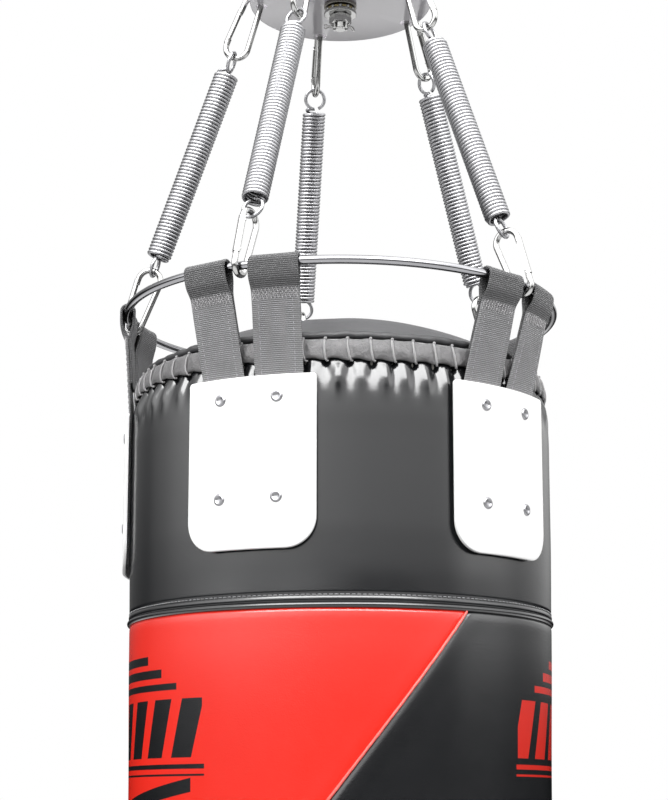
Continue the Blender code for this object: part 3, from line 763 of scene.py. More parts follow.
def build_piping(name, node, height):
    angle = full_turn(720)
    wobble = 0.00025 * waves(5, angle)
    points = round_points(BAG_RADIUS - 0.0004 + wobble, angle, height + 0.4 * wobble)
    hoop(name, points, PIPING_ROD, 14, BLACK, "black_vinyl", node)


def thread_humps():
    """How far a stitch's five points stand up from the cloth."""
    return np.sin(np.linspace(0, math.pi, 5))


def stitch_row(name, height):
    """A row of sewn stitches round the bag: short humps of thread that dip at each end."""
    count = int(math.tau * BAG_RADIUS / STITCH_SPACING)
    along = np.linspace(0, STITCH_LENGTH / BAG_RADIUS, 5)
    radius = BAG_RADIUS + 0.0001 + 0.00028 * thread_humps() - 0.0001
    starts = [math.tau * step / count for step in range(count)]
    rows = [round_points(radius, start + along, height) for start in starts]
    pieces = [tube_arrays(points, 0.00033, 5) for points in rows]
    put(joined(name, pieces, THREAD, 60), "bag", "black_vinyl")


def half_width(height):
    """Half the red panel's angle at a height: it narrows evenly to its apex."""
    return RED_HALF_WIDTH * np.clip((height - RED_LOW_Z) / (RED_TOP_Z - RED_LOW_Z), 0, 1)


def other_half_width(height):
    """Half the black panel's angle at a height."""
    return math.pi - half_width(height)


def edge_tuck(distance):
    """How a sewn edge draws the vinyl in: a groove at the seam and a soft roll beside it."""
    return -0.0008 * hump(distance, 0.0022) + 0.00008 * hump(distance - 0.009, 0.006)


def panel_radius(angle, height, seam_distance):
    radius = BAG_RADIUS + 0.0006 * waves(9, angle, height)
    depth = SEAM_Z - height
    radius = radius - 0.0020 * smooth_step(0.01, 0.16, depth) * smooth_step(0.74, 0.5, depth)
    for distance in (seam_distance, np.abs(SEAM_Z - height), np.abs(height - LOWER_SEAM_Z)):
        radius = radius + edge_tuck(distance)
    return radius


def build_panel(name, node, material, slot, spans, columns, turn, half_at):
    """A panel between the two slanted seams. turn is its middle's angle from the red one's."""
    height = np.concatenate([np.linspace(*span) for span in spans])[:, None]
    share = np.linspace(-1, 1, columns)[None, :]
    half = half_at(height)
    angle = share * half
    seam_distance = (1 - np.abs(share)) * half * BAG_RADIUS * math.cos(SLANT)
    seam_distance = np.where(height > RED_LOW_Z, seam_distance, 0.05)
    radius = panel_radius(angle + turn, height, seam_distance)
    points = round_points(radius, RED_MIDDLE + turn + angle, height)
    metres = np.stack([angle * BAG_RADIUS, height - SEAM_Z + 0 * angle], -1)
    return shell(name, points, material, node, False, metres, slot)


def build_panels():
    low, top = RED_LOW_Z, RED_TOP_Z + PANEL_LAP
    spans = ((low + 0.0004, low + 0.02, 12), (low + 0.024, top, 110))
    build_panel("red_panel_skin", "red_panel", RED, "red_vinyl", spans, 421, 0, half_width)
    spans = ((LOWER_SEAM_Z + SEAM_GAP, low, 60), (low + 0.004, top, 112))
    finish = ("black_panel", BLACK_MARKED, "black_vinyl")
    made = build_panel("black_panel_skin", *finish, spans, 601, math.pi, other_half_width)
    edited(made, lambda bm: bmesh.ops.remove_doubles(bm, verts=bm.verts, dist=2e-5))


def build_slant_welt():
    """The folded edge of the red vinyl that stands proud along both slanted seams, in a paler red:
    a painted highlight along the edge.
    """
    pieces = []
    height = np.linspace(RED_TOP_Z + 0.001, RED_LOW_Z + 0.001, 260)
    wobble = 0.0003 * waves(61, height * 160)
    for side in (-1, 1):
        edge = half_width(height) - PANEL_LAP / BAG_RADIUS / math.cos(SLANT)
        angle = RED_MIDDLE + side * edge + wobble / BAG_RADIUS
        radius = panel_radius(RED_MIDDLE, height, 0.02) + 0.00005
        rod = 0.00115 + 0.6 * wobble
        pieces.append(tube_arrays(round_points(radius, angle, height), rod, 10))
    put(joined("slant_welt", pieces, RED_EDGE_PAINTED_HIGHLIGHT, 60), "bag", "red_vinyl")


def build_lower_band():
    low = BASE_EDGE_Z
    height = np.linspace(low, LOWER_SEAM_Z - SEAM_GAP, 60)[:, None]
    angle = full_turn(720)[None, :]
    tuck = edge_tuck(np.abs(height - LOWER_SEAM_Z))
    radius = BAG_RADIUS + 0.0006 * waves(21, angle, height) + tuck
    radius = radius - 0.004 * smooth_step(low + 0.016, low, height) ** 1.5
    shell("lower_band_skin", round_points(radius, angle, height), BLACK, "lower_band")


def build_base():
    """The round base panel, bellied a little by the filling, with a seam near its edge."""
    share = np.linspace(0.0005, 1, 60)[:, None]
    angle = full_turn(360)[None, :]
    radius = (BAG_RADIUS - 0.0035) * share
    height = BASE_Z + (BASE_EDGE_Z - BASE_Z) * share**6 + 0.0008 * hump(share - 0.93, 0.012)
    points = round_points(radius, angle, height + 0.0012 * waves(31, angle, radius))
    shell("base_panel_skin", points[::-1], BLACK, "base_panel")


def build_cover():
    """The domed cover: smooth over the filling, drawn into small tucks at the lacing."""
    edge = DOME_RADIUS + 0.001
    rise = DOME_TOP_Z - (HEM_TOP_Z - 0.0005)
    sphere = (edge**2 + rise**2) / (2 * rise)
    share = np.concatenate([np.linspace(0.001, 0.85, 40), np.linspace(0.86, 1, 24)])[:, None]
    angle = full_turn(1080)[None, :]
    radius = edge * share
    height = DOME_TOP_Z - sphere + np.sqrt(sphere**2 - radius**2)
    inwards = (1 - share) * edge
    height = height + 0.35 * gathers(angle, inwards + 0.006) * smooth_step(0.03, 0.0, inwards)
    height = height - 0.0045 * hump(inwards, 0.0035)
    height = height + 0.0007 * waves(41, angle, radius) * smooth_step(0, 0.4, share)
    shell("top_cover_skin", round_points(radius, angle, height)[::-1], COVER, "top_cover")


def build_painted_gap_shadow():
    """A dark roll that stands up just inside the hem, darker than the black vinyl: painted shadow
    in the gap between the hem and the cover.
    """
    angle = full_turn(1440)
    ripple = waves(47, angle * 5)
    rod = 0.0036 + 0.0006 * waves(48, angle * 3) + 0.0003 * np.sin(STITCHES * angle)
    radius, height = HEM_RADIUS - 0.0095 + 0.0003 * ripple, HEM_TOP_Z + 0.0036 + 0.0009 * ripple
    hoop("painted_shadow_roll", round_points(radius, angle, height), rod, 8, PAINTED_SHADOW_BLACK, "black_vinyl")


# ---------------------------------------------------------------- hem and lacing

HEM_MIDDLE = (HEM_RADIUS - 0.0022, (SHOULDER_Z + HEM_TOP_Z) / 2 - 0.0002)
HEM_HALF_HEIGHT = 0.0082
HEM_HALF_THICK = 0.0026
HEM_LEAN = math.radians(13)


def hem_section(turn, grow=0.0):
    """A point of the hem's rolled section. turn 0 faces out and pi/2 is its upper edge."""
    out = (HEM_HALF_THICK + grow) * np.cos(turn)
    up = (HEM_HALF_HEIGHT + grow) * np.sin(turn)
    radius = HEM_MIDDLE[0] + out * math.cos(HEM_LEAN) - up * math.sin(HEM_LEAN)
    height = HEM_MIDDLE[1] + up * math.cos(HEM_LEAN) + out * math.sin(HEM_LEAN)
    return radius, height


def build_hem():
    """The rolled edge strip, pinched by each stitch and lumpy between them."""
    angle = full_turn(1440)[None, :]
    turn = full_turn(28)[:, None]
    pinches = sum(hump(round_gap(angle, centre), math.radians(0.9)) for centre in STITCH_ANGLES)
    lumps = 0.0005 * waves(51, angle * 6) - 0.0011 * pinches
    radius, height = hem_section(turn)
    radius = radius + (lumps + 0.0002 * np.sin(3 * turn + 9 * angle)) * np.cos(turn)
    lift = 0.0005 * np.sin(STITCHES * angle) + 0.0006 * waves(53, angle * 4)
    tooth = ((angle - STITCH_ANGLES[0]) / math.tau * STITCHES) % 1
    height = height + lift * np.sin(turn) - 0.0012 * tooth**2 * (np.sin(turn) < 0)
    points = round_points(radius, angle, height)
    points = np.concatenate([points, points[:1]])
    put(tidy(sheet("top_hem_roll", points, HEM, True, sharp=70)), "bag", "hem_vinyl", "top_hem")


def build_lacing():
    """Whip stitches over the hem, each with a knot and a run of cord on to the next."""
    random = np.random.default_rng(17)
    pieces = []
    turn = np.linspace(math.radians(-118), math.radians(105), 16)
    share = np.linspace(0, 1, 9)
    knot = np.linspace(-1, 1, 5)
    for index, centre in enumerate(STITCH_ANGLES):
        gap = round_gap(STITCH_ANGLES[(index + 1) % STITCHES], centre)
        slant = math.radians(random.normal(0.9, 0.25))
        radius, height = hem_section(turn, 0.0001)
        angle = centre + slant * (turn / turn[0]) * 0.5 - math.radians(0.45) * np.cos(turn)
        height = height - 0.0016 * smooth_step(0, -1.8, turn)
        points = round_points(radius - 0.0005, angle, height)
        pieces.append(tube_arrays(points, 0.00090, 8, flat=0.8))
        radius, height = hem_section(math.radians(106) + 0.10 * np.sin(math.pi * share), 0.0002)
        points = round_points(radius, centre - slant * 0.45 + gap * share, height)
        pieces.append(tube_arrays(points, 0.00075, 6))
        radius, height = hem_section(math.radians(74), 0.0008)
        angle = centre - slant * 0.4 + 0.006 * knot
        points = round_points(radius, angle, height + 0.0009 * knot)
        pieces.append(tube_arrays(points, 0.0012 * np.sqrt(1.04 - knot**2), 8))
    put(joined("lacing_cord", pieces, LACING, 60), "bag", "hem_vinyl")


# ---------------------------------------------------------------- straps and patches


def strap_path():
    """The strap's middle line in the (radius, height) plane.

    It rises from the patch, leans out to the ring, closes round it and ends in a tail.
    """
    inside = BAND_RADIUS + 0.0003 + STRAP / 2
    foot = RING_RADIUS + 0.0002
    behind = foot - STRAP
    lean = (foot - inside) / (RING_Z - 0.0215 - PATCH_HIGH_Z)
    rise = [(inside, STRAP_LOW_Z + 0.001), (inside, SEAM_Z + 0.12), (inside, PATCH_HIGH_Z)]
    rise += [(inside + lean * climb, PATCH_HIGH_Z + climb) for climb in (0.022, 0.045)]
    rise += [(foot - lean * 0.008, RING_Z - 0.0295), (foot, RING_Z - 0.0215)]
    rise += [(foot + 0.0014, RING_Z - 0.0178), (foot + 0.0050, RING_Z - 0.0115)]
    centre, radius = (RING_RADIUS, RING_Z + 0.0002), RING_ROD + 0.0008 + STRAP / 2
    tail = [(RING_RADIUS - 0.0052, RING_Z - 0.0085), (behind - 0.0008, RING_Z - 0.0178)]
    tail += [(behind, RING_Z - 0.0225), (behind - lean * 0.012, RING_Z - 0.0335)]
    tail += [(behind - lean * 0.034, HEM_TOP_Z - 0.002)]
    return resample(rise + arc(centre, radius, -8, 188, 18) + tail, 0.0011)


def strap_angle(chain, side, height):
    """A strap leans from its rivets on the patch towards its place on the ring."""
    climb = np.clip((height - PATCH_HIGH_Z) / (RING_Z - PATCH_HIGH_Z), 0, 1)
    low = PATCH_ANGLES[chain - 1] + side * STRAP_ANGLE_LOW
    high = angle_of(ring_place(chain)) + side * STRAP_ANGLE_HIGH
    return low + climb * round_gap(high, low)


def close_ends(bm):
    bmesh.ops.holes_fill(bm, edges=[edge for edge in bm.edges if edge.is_boundary])


def build_strap(chain, side, node, seed):
    """Webbing with thick, rounded edges. Gives its path, its outward normals and its angles."""
    random = np.random.default_rng(seed)
    path = strap_path()
    along = np.gradient(path, axis=0)
    along /= np.linalg.norm(along, axis=1)[:, None]
    normal = np.stack([along[:, 1], -along[:, 0]], -1)
    distance = length_along(path)[:, None]
    half = STRAP_WIDTH / 2
    front = np.linspace(-half + 0.0008, half - 0.0008, 21)
    across = np.concatenate([[-half], front, [half], front[::-1]])
    face = np.concatenate([[0], np.ones(21), [0], -np.ones(21)])
    edge_roll = 1 + 0.10 * hump(np.abs(across) - half + 0.0022, 0.0012)
    cup = 0.00035 * random.uniform(0.4, 1.6) * (across / half) ** 2
    sway = 0.0002 * random.normal() * np.sin(np.linspace(0, math.pi, len(path)))[:, None]
    offset = (STRAP / 2) * face * edge_roll + cup
    radius = path[:, :1] + normal[:, :1] * offset
    height = path[:, 1:] + normal[:, 1:] * offset
    width = 1 + 0.008 * np.sin(distance * 90 + random.uniform(0, 6))
    angle = strap_angle(chain, side, path[:, 1:]) + (across * width + sway) / BAG_RADIUS
    grid = np.concatenate([across, across[:1]]) + 0 * distance
    metres = np.stack([grid, distance + 0 * grid], -1)
    points = round_points(radius, angle, height)
    made = edited(sheet(f"{node}_webbing", points, WEBBING, True, metres, 60), close_ends)
    put(made, "bag", "webbing", node)
    return path, normal, angle.mean(axis=1)


def thread_on_strap(path, normal, angles):
    """Stitches on a strap's outer face: dashes near both edges, and two zigzag rows across."""
    rising = path[: np.argmax(path[:, 1]), 1]

    def place(height, across, lift):
        index = int(np.argmin(np.abs(rising - height)))
        radius = path[index, 0] + normal[index, 0] * (STRAP / 2 + lift)
        return round_points(radius, angles[index] + across / BAG_RADIUS, height)

    dashes = []
    edge = STRAP_WIDTH / 2 - STRAP_EDGE_STITCH
    steps, lifts = np.linspace(0, STRAP_DASH, 5), 0.0004 * thread_humps() - 0.0001
    for across in (-edge, edge):
        height = PATCH_HIGH_Z + 0.001
        while height < RING_Z - 0.030:
            points = [place(height + step, across, lift) for step, lift in zip(steps, lifts)]
            dashes.append(tube_arrays(points, 0.00030, 5))
            height += STRAP_DASH_SPACING
    zigzags = []
    for level in (RING_Z - 0.0232, RING_Z - 0.0268):
        points = []
        for tooth in range(ZIGZAG_TEETH * 2 + 1):
            across = (tooth / (ZIGZAG_TEETH * 2) - 0.5) * (STRAP_WIDTH - 0.003)
            rise = ZIGZAG_HALF_HEIGHT if tooth % 2 else -ZIGZAG_HALF_HEIGHT
            points.append(place(level + rise, across, 0.0002))
        zigzags.append(tube_arrays(points, 0.00048, 5))
    return dashes, zigzags


def build_straps():
    dashes, zigzags = [], []
    for chain in CHAINS:
        for index, (word, side) in enumerate((("left", -1), ("right", 1))):
            strap = build_strap(chain, side, f"strap_{chain}_{word}", 60 + chain * 2 + index)
            sewn = thread_on_strap(*strap)
            dashes += sewn[0]
            zigzags += sewn[1]
    put(joined("strap_stitching", dashes, THREAD, 60), "bag", "webbing")
    put(joined("strap_zigzag", zigzags, PALE_THREAD, 60), "bag", "webbing")


def patch_outline(half, tall):
    """The patch unrolled, as (metres across, metres above its lower edge), anticlockwise."""
    low, small = PATCH_CORNER, PATCH_SMALL_CORNER
    points = arc((-half + low, low), low, 180, 270, 14) + arc((half - low, low), low, 270, 360, 14)
    points += arc((half - small, tall - small), small, 0, 90, 5)
    return points + arc((-half + small, tall - small), small, 90, 180, 5)


def build_patch(chain):
    """A vinyl patch with a rounded edge, dented at its rivets and bowed between them."""
    half = PATCH_HALF_ANGLE * (BAND_RADIUS + PATCH_LIFT)
    tall = PATCH_HIGH_Z - PATCH_LOW_Z
    base = BAND_RADIUS + PATCH_LIFT - 0.0002
    across = STRAP_ANGLE_LOW * base
    rows = [SEAM_Z + row - PATCH_LOW_Z for row in RIVETS_ABOVE_SEAM]
    rivets = [(side * across, row) for side in (-1, 1) for row in rows]

    def shape(bm):
        face = bm.faces.new([bm.verts.new((x, 0, z)) for x, z in patch_outline(half, tall)])
        raised = bmesh.ops.extrude_face_region(bm, geom=[face])["geom"]
        top = {item for item in raised if isinstance(item, bmesh.types.BMVert)}
        for vert in top:
            vert.co.y = PATCH
        rim = [edge for edge in bm.edges if all(vert in top for vert in edge.verts)]
        bmesh.ops.bevel(bm, geom=rim, offset=0.0009, segments=3, affect="EDGES", profile=0.5)
        for normal, low, high in (((1, 0, 0), -half, half), ((0, 0, 1), 0, tall)):
            for cut in np.arange(low + PATCH_CUT, high - PATCH_CUT / 2, PATCH_CUT):
                everything = bm.verts[:] + bm.edges[:] + bm.faces[:]
                place = [part * cut for part in normal]
                bmesh.ops.bisect_plane(bm, geom=everything, plane_co=place, plane_no=normal)
        for vert in bm.verts:
            x, depth, z = vert.co
            away = [((x - rx) ** 2 + (z - rz) ** 2) / RIVET_DENT**2 for rx, rz in rivets]
            dent = min(sum(math.exp(-far) for far in away), 1)
            swell = 0.0006 * math.cos(math.pi * x / half / 2) * math.sin(math.pi * z / tall)
            radius = base + depth - 0.0005 * dent + swell
            angle = PATCH_ANGLES[chain - 1] + x / base
            vert.co = (radius * math.sin(angle), -radius * math.cos(angle), PATCH_LOW_Z + z)
        bmesh.ops.recalc_face_normals(bm, faces=bm.faces)
        if bm.calc_volume(signed=True) < 0:
            bmesh.ops.reverse_faces(bm, faces=bm.faces)

    made = edited(make_object(f"patch_{chain}_vinyl", [], [], WHITE), shape)
    put(smoothed(made, 50), "bag", "white_vinyl", f"patch_{chain}")


def build_rivets():
    """Round rivet heads with a rolled rim and a dished middle."""
    rim = RIVET_RADIUS
    profile = [(0, 0.0010), (0.0016, 0.0010), (0.0022, 0.0012), (0.0026, 0.0017)]
    profile += [(0.0034, 0.0019), (rim - 0.0005, 0.0015), (rim - 0.0001, 0.0009), (rim, 0.0002)]
    profile += [(rim - 0.0003, -0.0006), (0, -0.0006)]
    verts, faces = lathe_arrays(profile, 28)
    out = -(BAND_RADIUS + PATCH_LIFT + PATCH - 0.0008)
    outwards = Matrix.Rotation(math.radians(90), 4, "X")
    places = [(a, s, row) for a in PATCH_ANGLES for s in (-1, 1) for row in RIVETS_ABOVE_SEAM]
    pieces = []
    for angle, side, row in places:
        turn = Matrix.Rotation(angle + side * STRAP_ANGLE_LOW, 4, "Z")
        matrix = np.array(turn @ Matrix.Translation((0, out, SEAM_Z + row)) @ outwards)
        pieces.append((verts @ matrix[:3, :3].T + matrix[:3, 3], faces))
    put(tidy(joined("patch_rivets", pieces, RIVET, 50), 1e-6), "bag", "zinc_steel")


# ---------------------------------------------------------------- chains


def hook_side(z):
    """Half the width between a hook's sides, which part evenly down to its wide end."""
    return HOOK_NARROW + (HOOK_WIDE - HOOK_NARROW) * -z / HOOK_LENGTH


def hook_parts():
    """A pear-shaped wire hook, thinner at its nose and at its hinge end."""
    path = [(hook_side(z), z) for z in (GATE_NOSE, -0.005)] + arc((0, 0), HOOK_NARROW, 0, 180, 24)
    path += [(-hook_side(z), z) for z in (-0.015, -0.030)]
    path += arc((0, -HOOK_LENGTH), HOOK_WIDE, 180, 360, 28) + [(hook_side(GATE_HINGE), GATE_HINGE)]
    radii = np.full(len(path), HOOK_ROD)
    radii[0], radii[-1] = HOOK_ROD * 0.86, HOOK_ROD * 0.92
    return tube_arrays([(x, 0, z) for x, z in path], radii, 16)


def gate_parts():
    """A folded channel round the wire's ends, open towards the hook's inside."""
    section = arc((0, 0), 0.00315, 80, 280, 16) + arc((0, 0), 0.00265, 280, 80, 16)
    stations = np.linspace(GATE_HINGE - 0.0042, GATE_NOSE + 0.0036, 12)
    verts = [(hook_side(z) - x, y, z) for z in stations for x, y in section[::-1]]
    return verts, swept_faces(len(stations), len(section))


def pin_parts(z):
    """A small cross pin with domed ends through the gate."""
    points = [(hook_side(z), y, z) for y in np.linspace(-0.0038, 0.0038, 7)]
    return tube_arrays(points, [0.0005, 0.0011, 0.0012, 0.0012, 0.0012, 0.0011, 0.0005], 12)


def spring_path(lower_eye):
    """The wire of a close-wound spring. Each end crosses the coil into a round loop."""
    turns = round((SPRING_TO - SPRING_FROM) / (2 * SPRING_WIRE + 0.00008))
    turn = np.linspace(0, turns * math.tau, turns * 20 + 1)
    drop = (SPRING_TO - SPRING_FROM) / turns
    down = -SPRING_FROM - drop * turn / math.tau
    helix = np.stack([SPRING_COIL * np.sin(turn), SPRING_COIL * np.cos(turn), down], -1)
    bend = np.radians(np.linspace(-90 + 335, -90, LOOP_POINTS))
    clear = HOOK_ROD + SPRING_WIRE + LOOP_GAP

    def loop(far, side):
        middle = far - side * LOOP_RADIUS
        up = middle + side * LOOP_RADIUS * np.sin(bend)
        circle = np.stack([0 * bend, LOOP_RADIUS * np.cos(bend), up], -1)
        foot = middle - side * LOOP_RADIUS
        return np.concatenate([circle, [(0, y, foot) for y in LOOP_FOOT]])

    upper = loop(clear - UPPER_EYE_AT, 1)
    lower = loop(-lower_eye - clear, -1)[::-1]
    path = np.concatenate([upper, helix[2:-2], lower])
    count = len(path)
    for _ in range(6):
        for start, end in ((LOOP_POINTS, BEND_END), (count - BEND_END, count - LOOP_POINTS)):
            part = path[start - 1 : end + 1]
            path[start:end] = (part[:-2] + 2 * part[1:-1] + part[2:]) / 4
    return path


def build_chains():
    hook = hook_parts()
    gate = [gate_parts(), pin_parts(GATE_HINGE - 0.0008), pin_parts(GATE_NOSE + 0.0008)]
    flip = Matrix.Rotation(math.pi, 4, "X")
    for chain in CHAINS:
        base, lower_at = chain_matrix(chain), lower_hook_at(chain)
        ends = {
            "upper": base @ Matrix.Translation((0, 0, -UPPER_HOOK_AT)),
            "lower": base @ Matrix.Translation((0, 0, -lower_at)) @ flip,
        }
        for end, matrix in ends.items():
            made = moved(joined(f"{end}_hook_{chain}_wire", [hook], ZINC), matrix)
            put(made, f"{end}_link_{chain}", "zinc_steel", f"{end}_hook_{chain}")
            made = moved(joined(f"{end}_gate_{chain}_channel", gate, ZINC), matrix)
            put(made, f"{end}_gate_body_{chain}", "zinc_steel", f"{end}_gate_{chain}")
        lower_eye = lower_at - HOOK_LENGTH - HOOK_WIDE
        wire = tube_arrays(spring_path(lower_eye), SPRING_WIRE, 9)
        made = moved(joined(f"spring_{chain}_coil", [wire], BRIGHT, 80), base)
        down = joint_axis(f"spring_stretch_{chain}")
        place = joint_place(f"chain_tilt_{chain}")
        start, end = place + down * (UPPER_EYE_AT - 0.002), place + down * (lower_eye + 0.002)
        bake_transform(made)
        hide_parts(f"spring_{chain}")


def build_ring():
    points = round_points(RING_RADIUS, full_turn(360), RING_Z)
    hoop("top_ring_rod", points, RING_ROD, 24, CHROME, "chrome_ring", "top_ring")


# ---------------------------------------------------------------- plate, bearing and shackle


def build_plate():
    """The pressed round plate with a rounded rim and drilled holes."""
    low, high = PLATE_LOW_Z, PLATE_HIGH_Z
    profile = [(PLATE_BORE, low), (PLATE_RADIUS - 0.0012, low)]
    profile += rounded_rim(PLATE_RADIUS, low, high, 0.0012, 5) + [(PLATE_BORE, high)]
    made = lathe("hanger_plate_disc", profile, 180, PAINT)
    hole = rod_profile(PLATE_HOLE_RADIUS, low - CUT_PAST, high + CUT_PAST)
    cutters = []
    for chain in CHAINS:
        angle = angle_of(joint_place(f"chain_tilt_{chain}"))
        centre = (PLATE_HOLE_CIRCLE * math.sin(angle), -PLATE_HOLE_CIRCLE * math.cos(angle), 0)
        cutters.append(moved(lathe("hole", hole, 32, PAINT), Matrix.Translation(centre)))
    carved(made, cutters)
    put(bevelled(smoothed(made, 40), 0.0004), "plate", "plate_paint", "hanger_plate")


def race_profile(low, high, outer, inner):
    """A washer's section with a rounded rim."""
    rim = rounded_rim(outer, low, high, RACE_RIM, 3)
    return [(inner, low), (outer - RACE_RIM, low)] + rim + [(inner, high)]


def build_bearing():
    races = (("upper_race", "plate", DARK_STEEL), ("lower_race", "swing_bolt", ZINC))
    for name, body, material in races:
        profile = race_profile(*heights(name), RACE_RADIUS, STUD_RADIUS + 0.0003)
        put(lathe(f"{name}_ring", profile, 72, material), body, "zinc_steel", name)
    low, high = heights("ball_cage")
    profile = race_profile(low + 0.0006, high - 0.0006, RACE_RADIUS - 0.002, 0.0075)
    cage = lathe("ball_cage_ring", profile, 72, BRASS)
    put(cage, "swing_bolt", "cage_brass", "ball_cage")
    polar = arc((0, 0), (high - low) / 2, -90, 90, 12)
    verts, faces = lathe_arrays([(max(radius, 0), z) for radius, z in polar], 20)
    places = round_points(BALL_CIRCLE, full_turn(BALLS), (low + high) / 2)
    balls = [(verts + place, faces) for place in places]
    put(tidy(joined("bearing_balls", balls, ZINC), 1e-6), "swing_bolt", "zinc_steel")


def prism(name, corners, low, high):
    """An upright prism on (x, y) corners."""
    verts = [(x, y, z) for z in (low, high) for x, y in corners]
    return make_object(name, verts, swept_faces(2, len(corners)), ZINC)


def build_castle_nut():
    radius = NUT_ACROSS_FLATS / math.sqrt(3)
    flat = NUT_ACROSS_FLATS / 2
    low, high, crown = NUT_LOW_Z, NUT_HIGH_Z, NUT_LOW_Z + 0.0042
    made = prism("castle_nut_hex", arc((0, 0), radius, 0, 300, 5), low, high)
    blank = [(0, low - 0.001), (flat * 0.80, low - 0.001), (flat * 0.86, crown - 0.0003)]
    blank += [(flat * 0.98, crown), (radius + 0.0001, crown + 0.0014)]
    blank += [(radius + 0.0001, high - 0.0012), (flat * 0.99, high + 0.0001), (0, high + 0.0001)]
    carved(made, [lathe("blank", blank, 64, ZINC)], "INTERSECT")
    bore = rod_profile(STUD_RADIUS + 0.0003, low - CUT_PAST, high + CUT_PAST)
    cutters = [lathe("bore", bore, 40, ZINC)]
    corners = [(-0.02, -0.0015), (0.02, -0.0015), (0.02, 0.0015), (-0.02, 0.0015)]
    for turn in (0, 60, 120):
        slot = prism("slot", corners, low - CUT_PAST, low + 0.004)
        cutters.append(moved(slot, Matrix.Rotation(math.radians(turn), 4, "Z")))
    carved(made, cutters)
    put(bevelled(smoothed(made, 30), 0.0002), "swing_bolt", "zinc_steel", "castle_nut")


def build_cotter_pin():
    """The pin through the nut's slots: a round eye, a shank and a bent end."""
    z = NUT_LOW_Z + 0.002
    bend = [(-0.0115, 0, z), (-0.0060, 0, z), (0.0085, 0, z), (0.0100, 0, z - 0.0004)]
    bend += [(0.0112, 0, z - 0.0018), (0.0118, 0, z - 0.0040)]
    turns = np.linspace(0.5, 5.8, 14)
    head = [(-0.0128 - 0.0014 * math.cos(a), 0, z + 0.0018 * math.sin(a)) for a in turns]
    pieces = [tube_arrays(resample(bend, 0.0006), 0.00115, 10), tube_arrays(head, 0.0006, 8)]
    put(joined("cotter_pin_wire", pieces, ZINC), "swing_bolt", "zinc_steel", "cotter_pin")


def build_eye_bolt():
    """A forged eye with a collar, and a threaded stud."""
    eye_z = heights("eye_bolt")[1] - EYE_RADIUS - BOW_ROD
    eye_low = eye_z - EYE_RADIUS
    angle = full_turn(96)
    up = eye_z + EYE_RADIUS * np.sin(angle)
    eye = np.stack([0 * angle, EYE_RADIUS * np.cos(angle), up], -1)
    low = PLATE_HIGH_Z + 0.0003
    high = low + 0.004
    collar = [(0, low), (0.0105, low)] + arc((0.0104, low + 0.002), 0.0020, -60, 60, 6)
    collar += [(0.0095, high), (0.0070, high + 0.0006), (0.0056, eye_low), (0, eye_low)]
    pieces = [tube_arrays(eye, BOW_ROD, 24, closed=True), lathe_arrays(collar, 48)]
    pieces.append(threaded_stud(STUD_LOW_Z, low + 0.0005))
    made = tidy(joined("eye_bolt_forging", pieces, ZINC, 35), 1e-6)
    put(made, "swing_bolt", "zinc_steel", "eye_bolt")


def threaded_stud(low, high):
    """A stud with thread ridges: rings of root and crest radii along its length."""
    crest = STUD_RADIUS - 0.0001
    root = crest - THREAD_DEPTH
    profile = [(0, low), (root, low), (root, low + 0.0004)]
    z = low + 0.0008
    while z < high - THREAD_PITCH:
        profile += [(crest, z + 0.0004), (root, z + THREAD_PITCH * 0.75)]
        z += THREAD_PITCH
    return lathe_arrays(profile + [(crest, high), (0, high)], 32)


def build_shackle():
    """The bow with its forged ears, and the pin with its collar."""
    top = -BOW_HALF_WIDTH + BOW_ROD
    leg = (PIN_Z, PIN_Z + 0.008, top - 0.006)
    path = [(BOW_HALF_WIDTH, z) for z in leg] + arc((0, top), BOW_HALF_WIDTH, 0, 180, 30)
    path += [(-BOW_HALF_WIDTH, z) for z in leg[::-1]]
    wire = tube_arrays([(x, 0, z) for x, z in path], BOW_ROD, 28)
    made = joined("shackle_bow_forging", [wire], ZINC)
    turn = Matrix.Translation((0, 0, PIN_Z)) @ Matrix.Rotation(math.radians(90), 4, "Y")
    ears = []
    for low, high in ((-0.0210, -0.0110), (0.0110, 0.0210)):
        profile = [(0, low), (0.0105 - 0.0018, low)] + rounded_rim(0.0105, low, high, 0.0018, 5)
        ears.append(moved(lathe("ear", profile + [(0, high)], 48, ZINC), turn))
    carved(made, ears, "UNION")
    carved(made, [moved(lathe("hole", rod_profile(0.0053, -0.03, 0.03), 40, ZINC), turn)])
    put(smoothed(made, 35), "shackle", "zinc_steel", "shackle_bow")
    near, far = (corner[0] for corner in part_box("shackle_pin"))
    profile = [(0, near), (0.0040, near), (0.0050, near + 0.001), (0.0050, far - 0.006)]
    profile += [(0.0074, far - 0.006)] + arc((0.0072, far - 0.0045), 0.0012, -50, 60, 5)
    profile += [(0.0045, far - 0.002), (0.0035, far), (0, far)]
    made = moved(lathe("shackle_pin_bar", profile, 40, ZINC), turn)
    put(made, "shackle", "zinc_steel", "shackle_pin")


def build_filling():
    """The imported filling: it can't be seen, so its CAD solid keeps its shape."""
    nodes = Finish("filling_textile")
    clumps = nodes.noise(40, 5, 0.7)
    shade = nodes.mix(clumps, (0.30, 0.29, 0.27), (0.55, 0.53, 0.50))
    nodes.done(shade, 0.95, nodes.bump(clumps, 0.002, 0.8))
    for slot in frame["nodes"]["filling"].material_slots:
        slot.material = nodes.material


# ---------------------------------------------------------------- stage

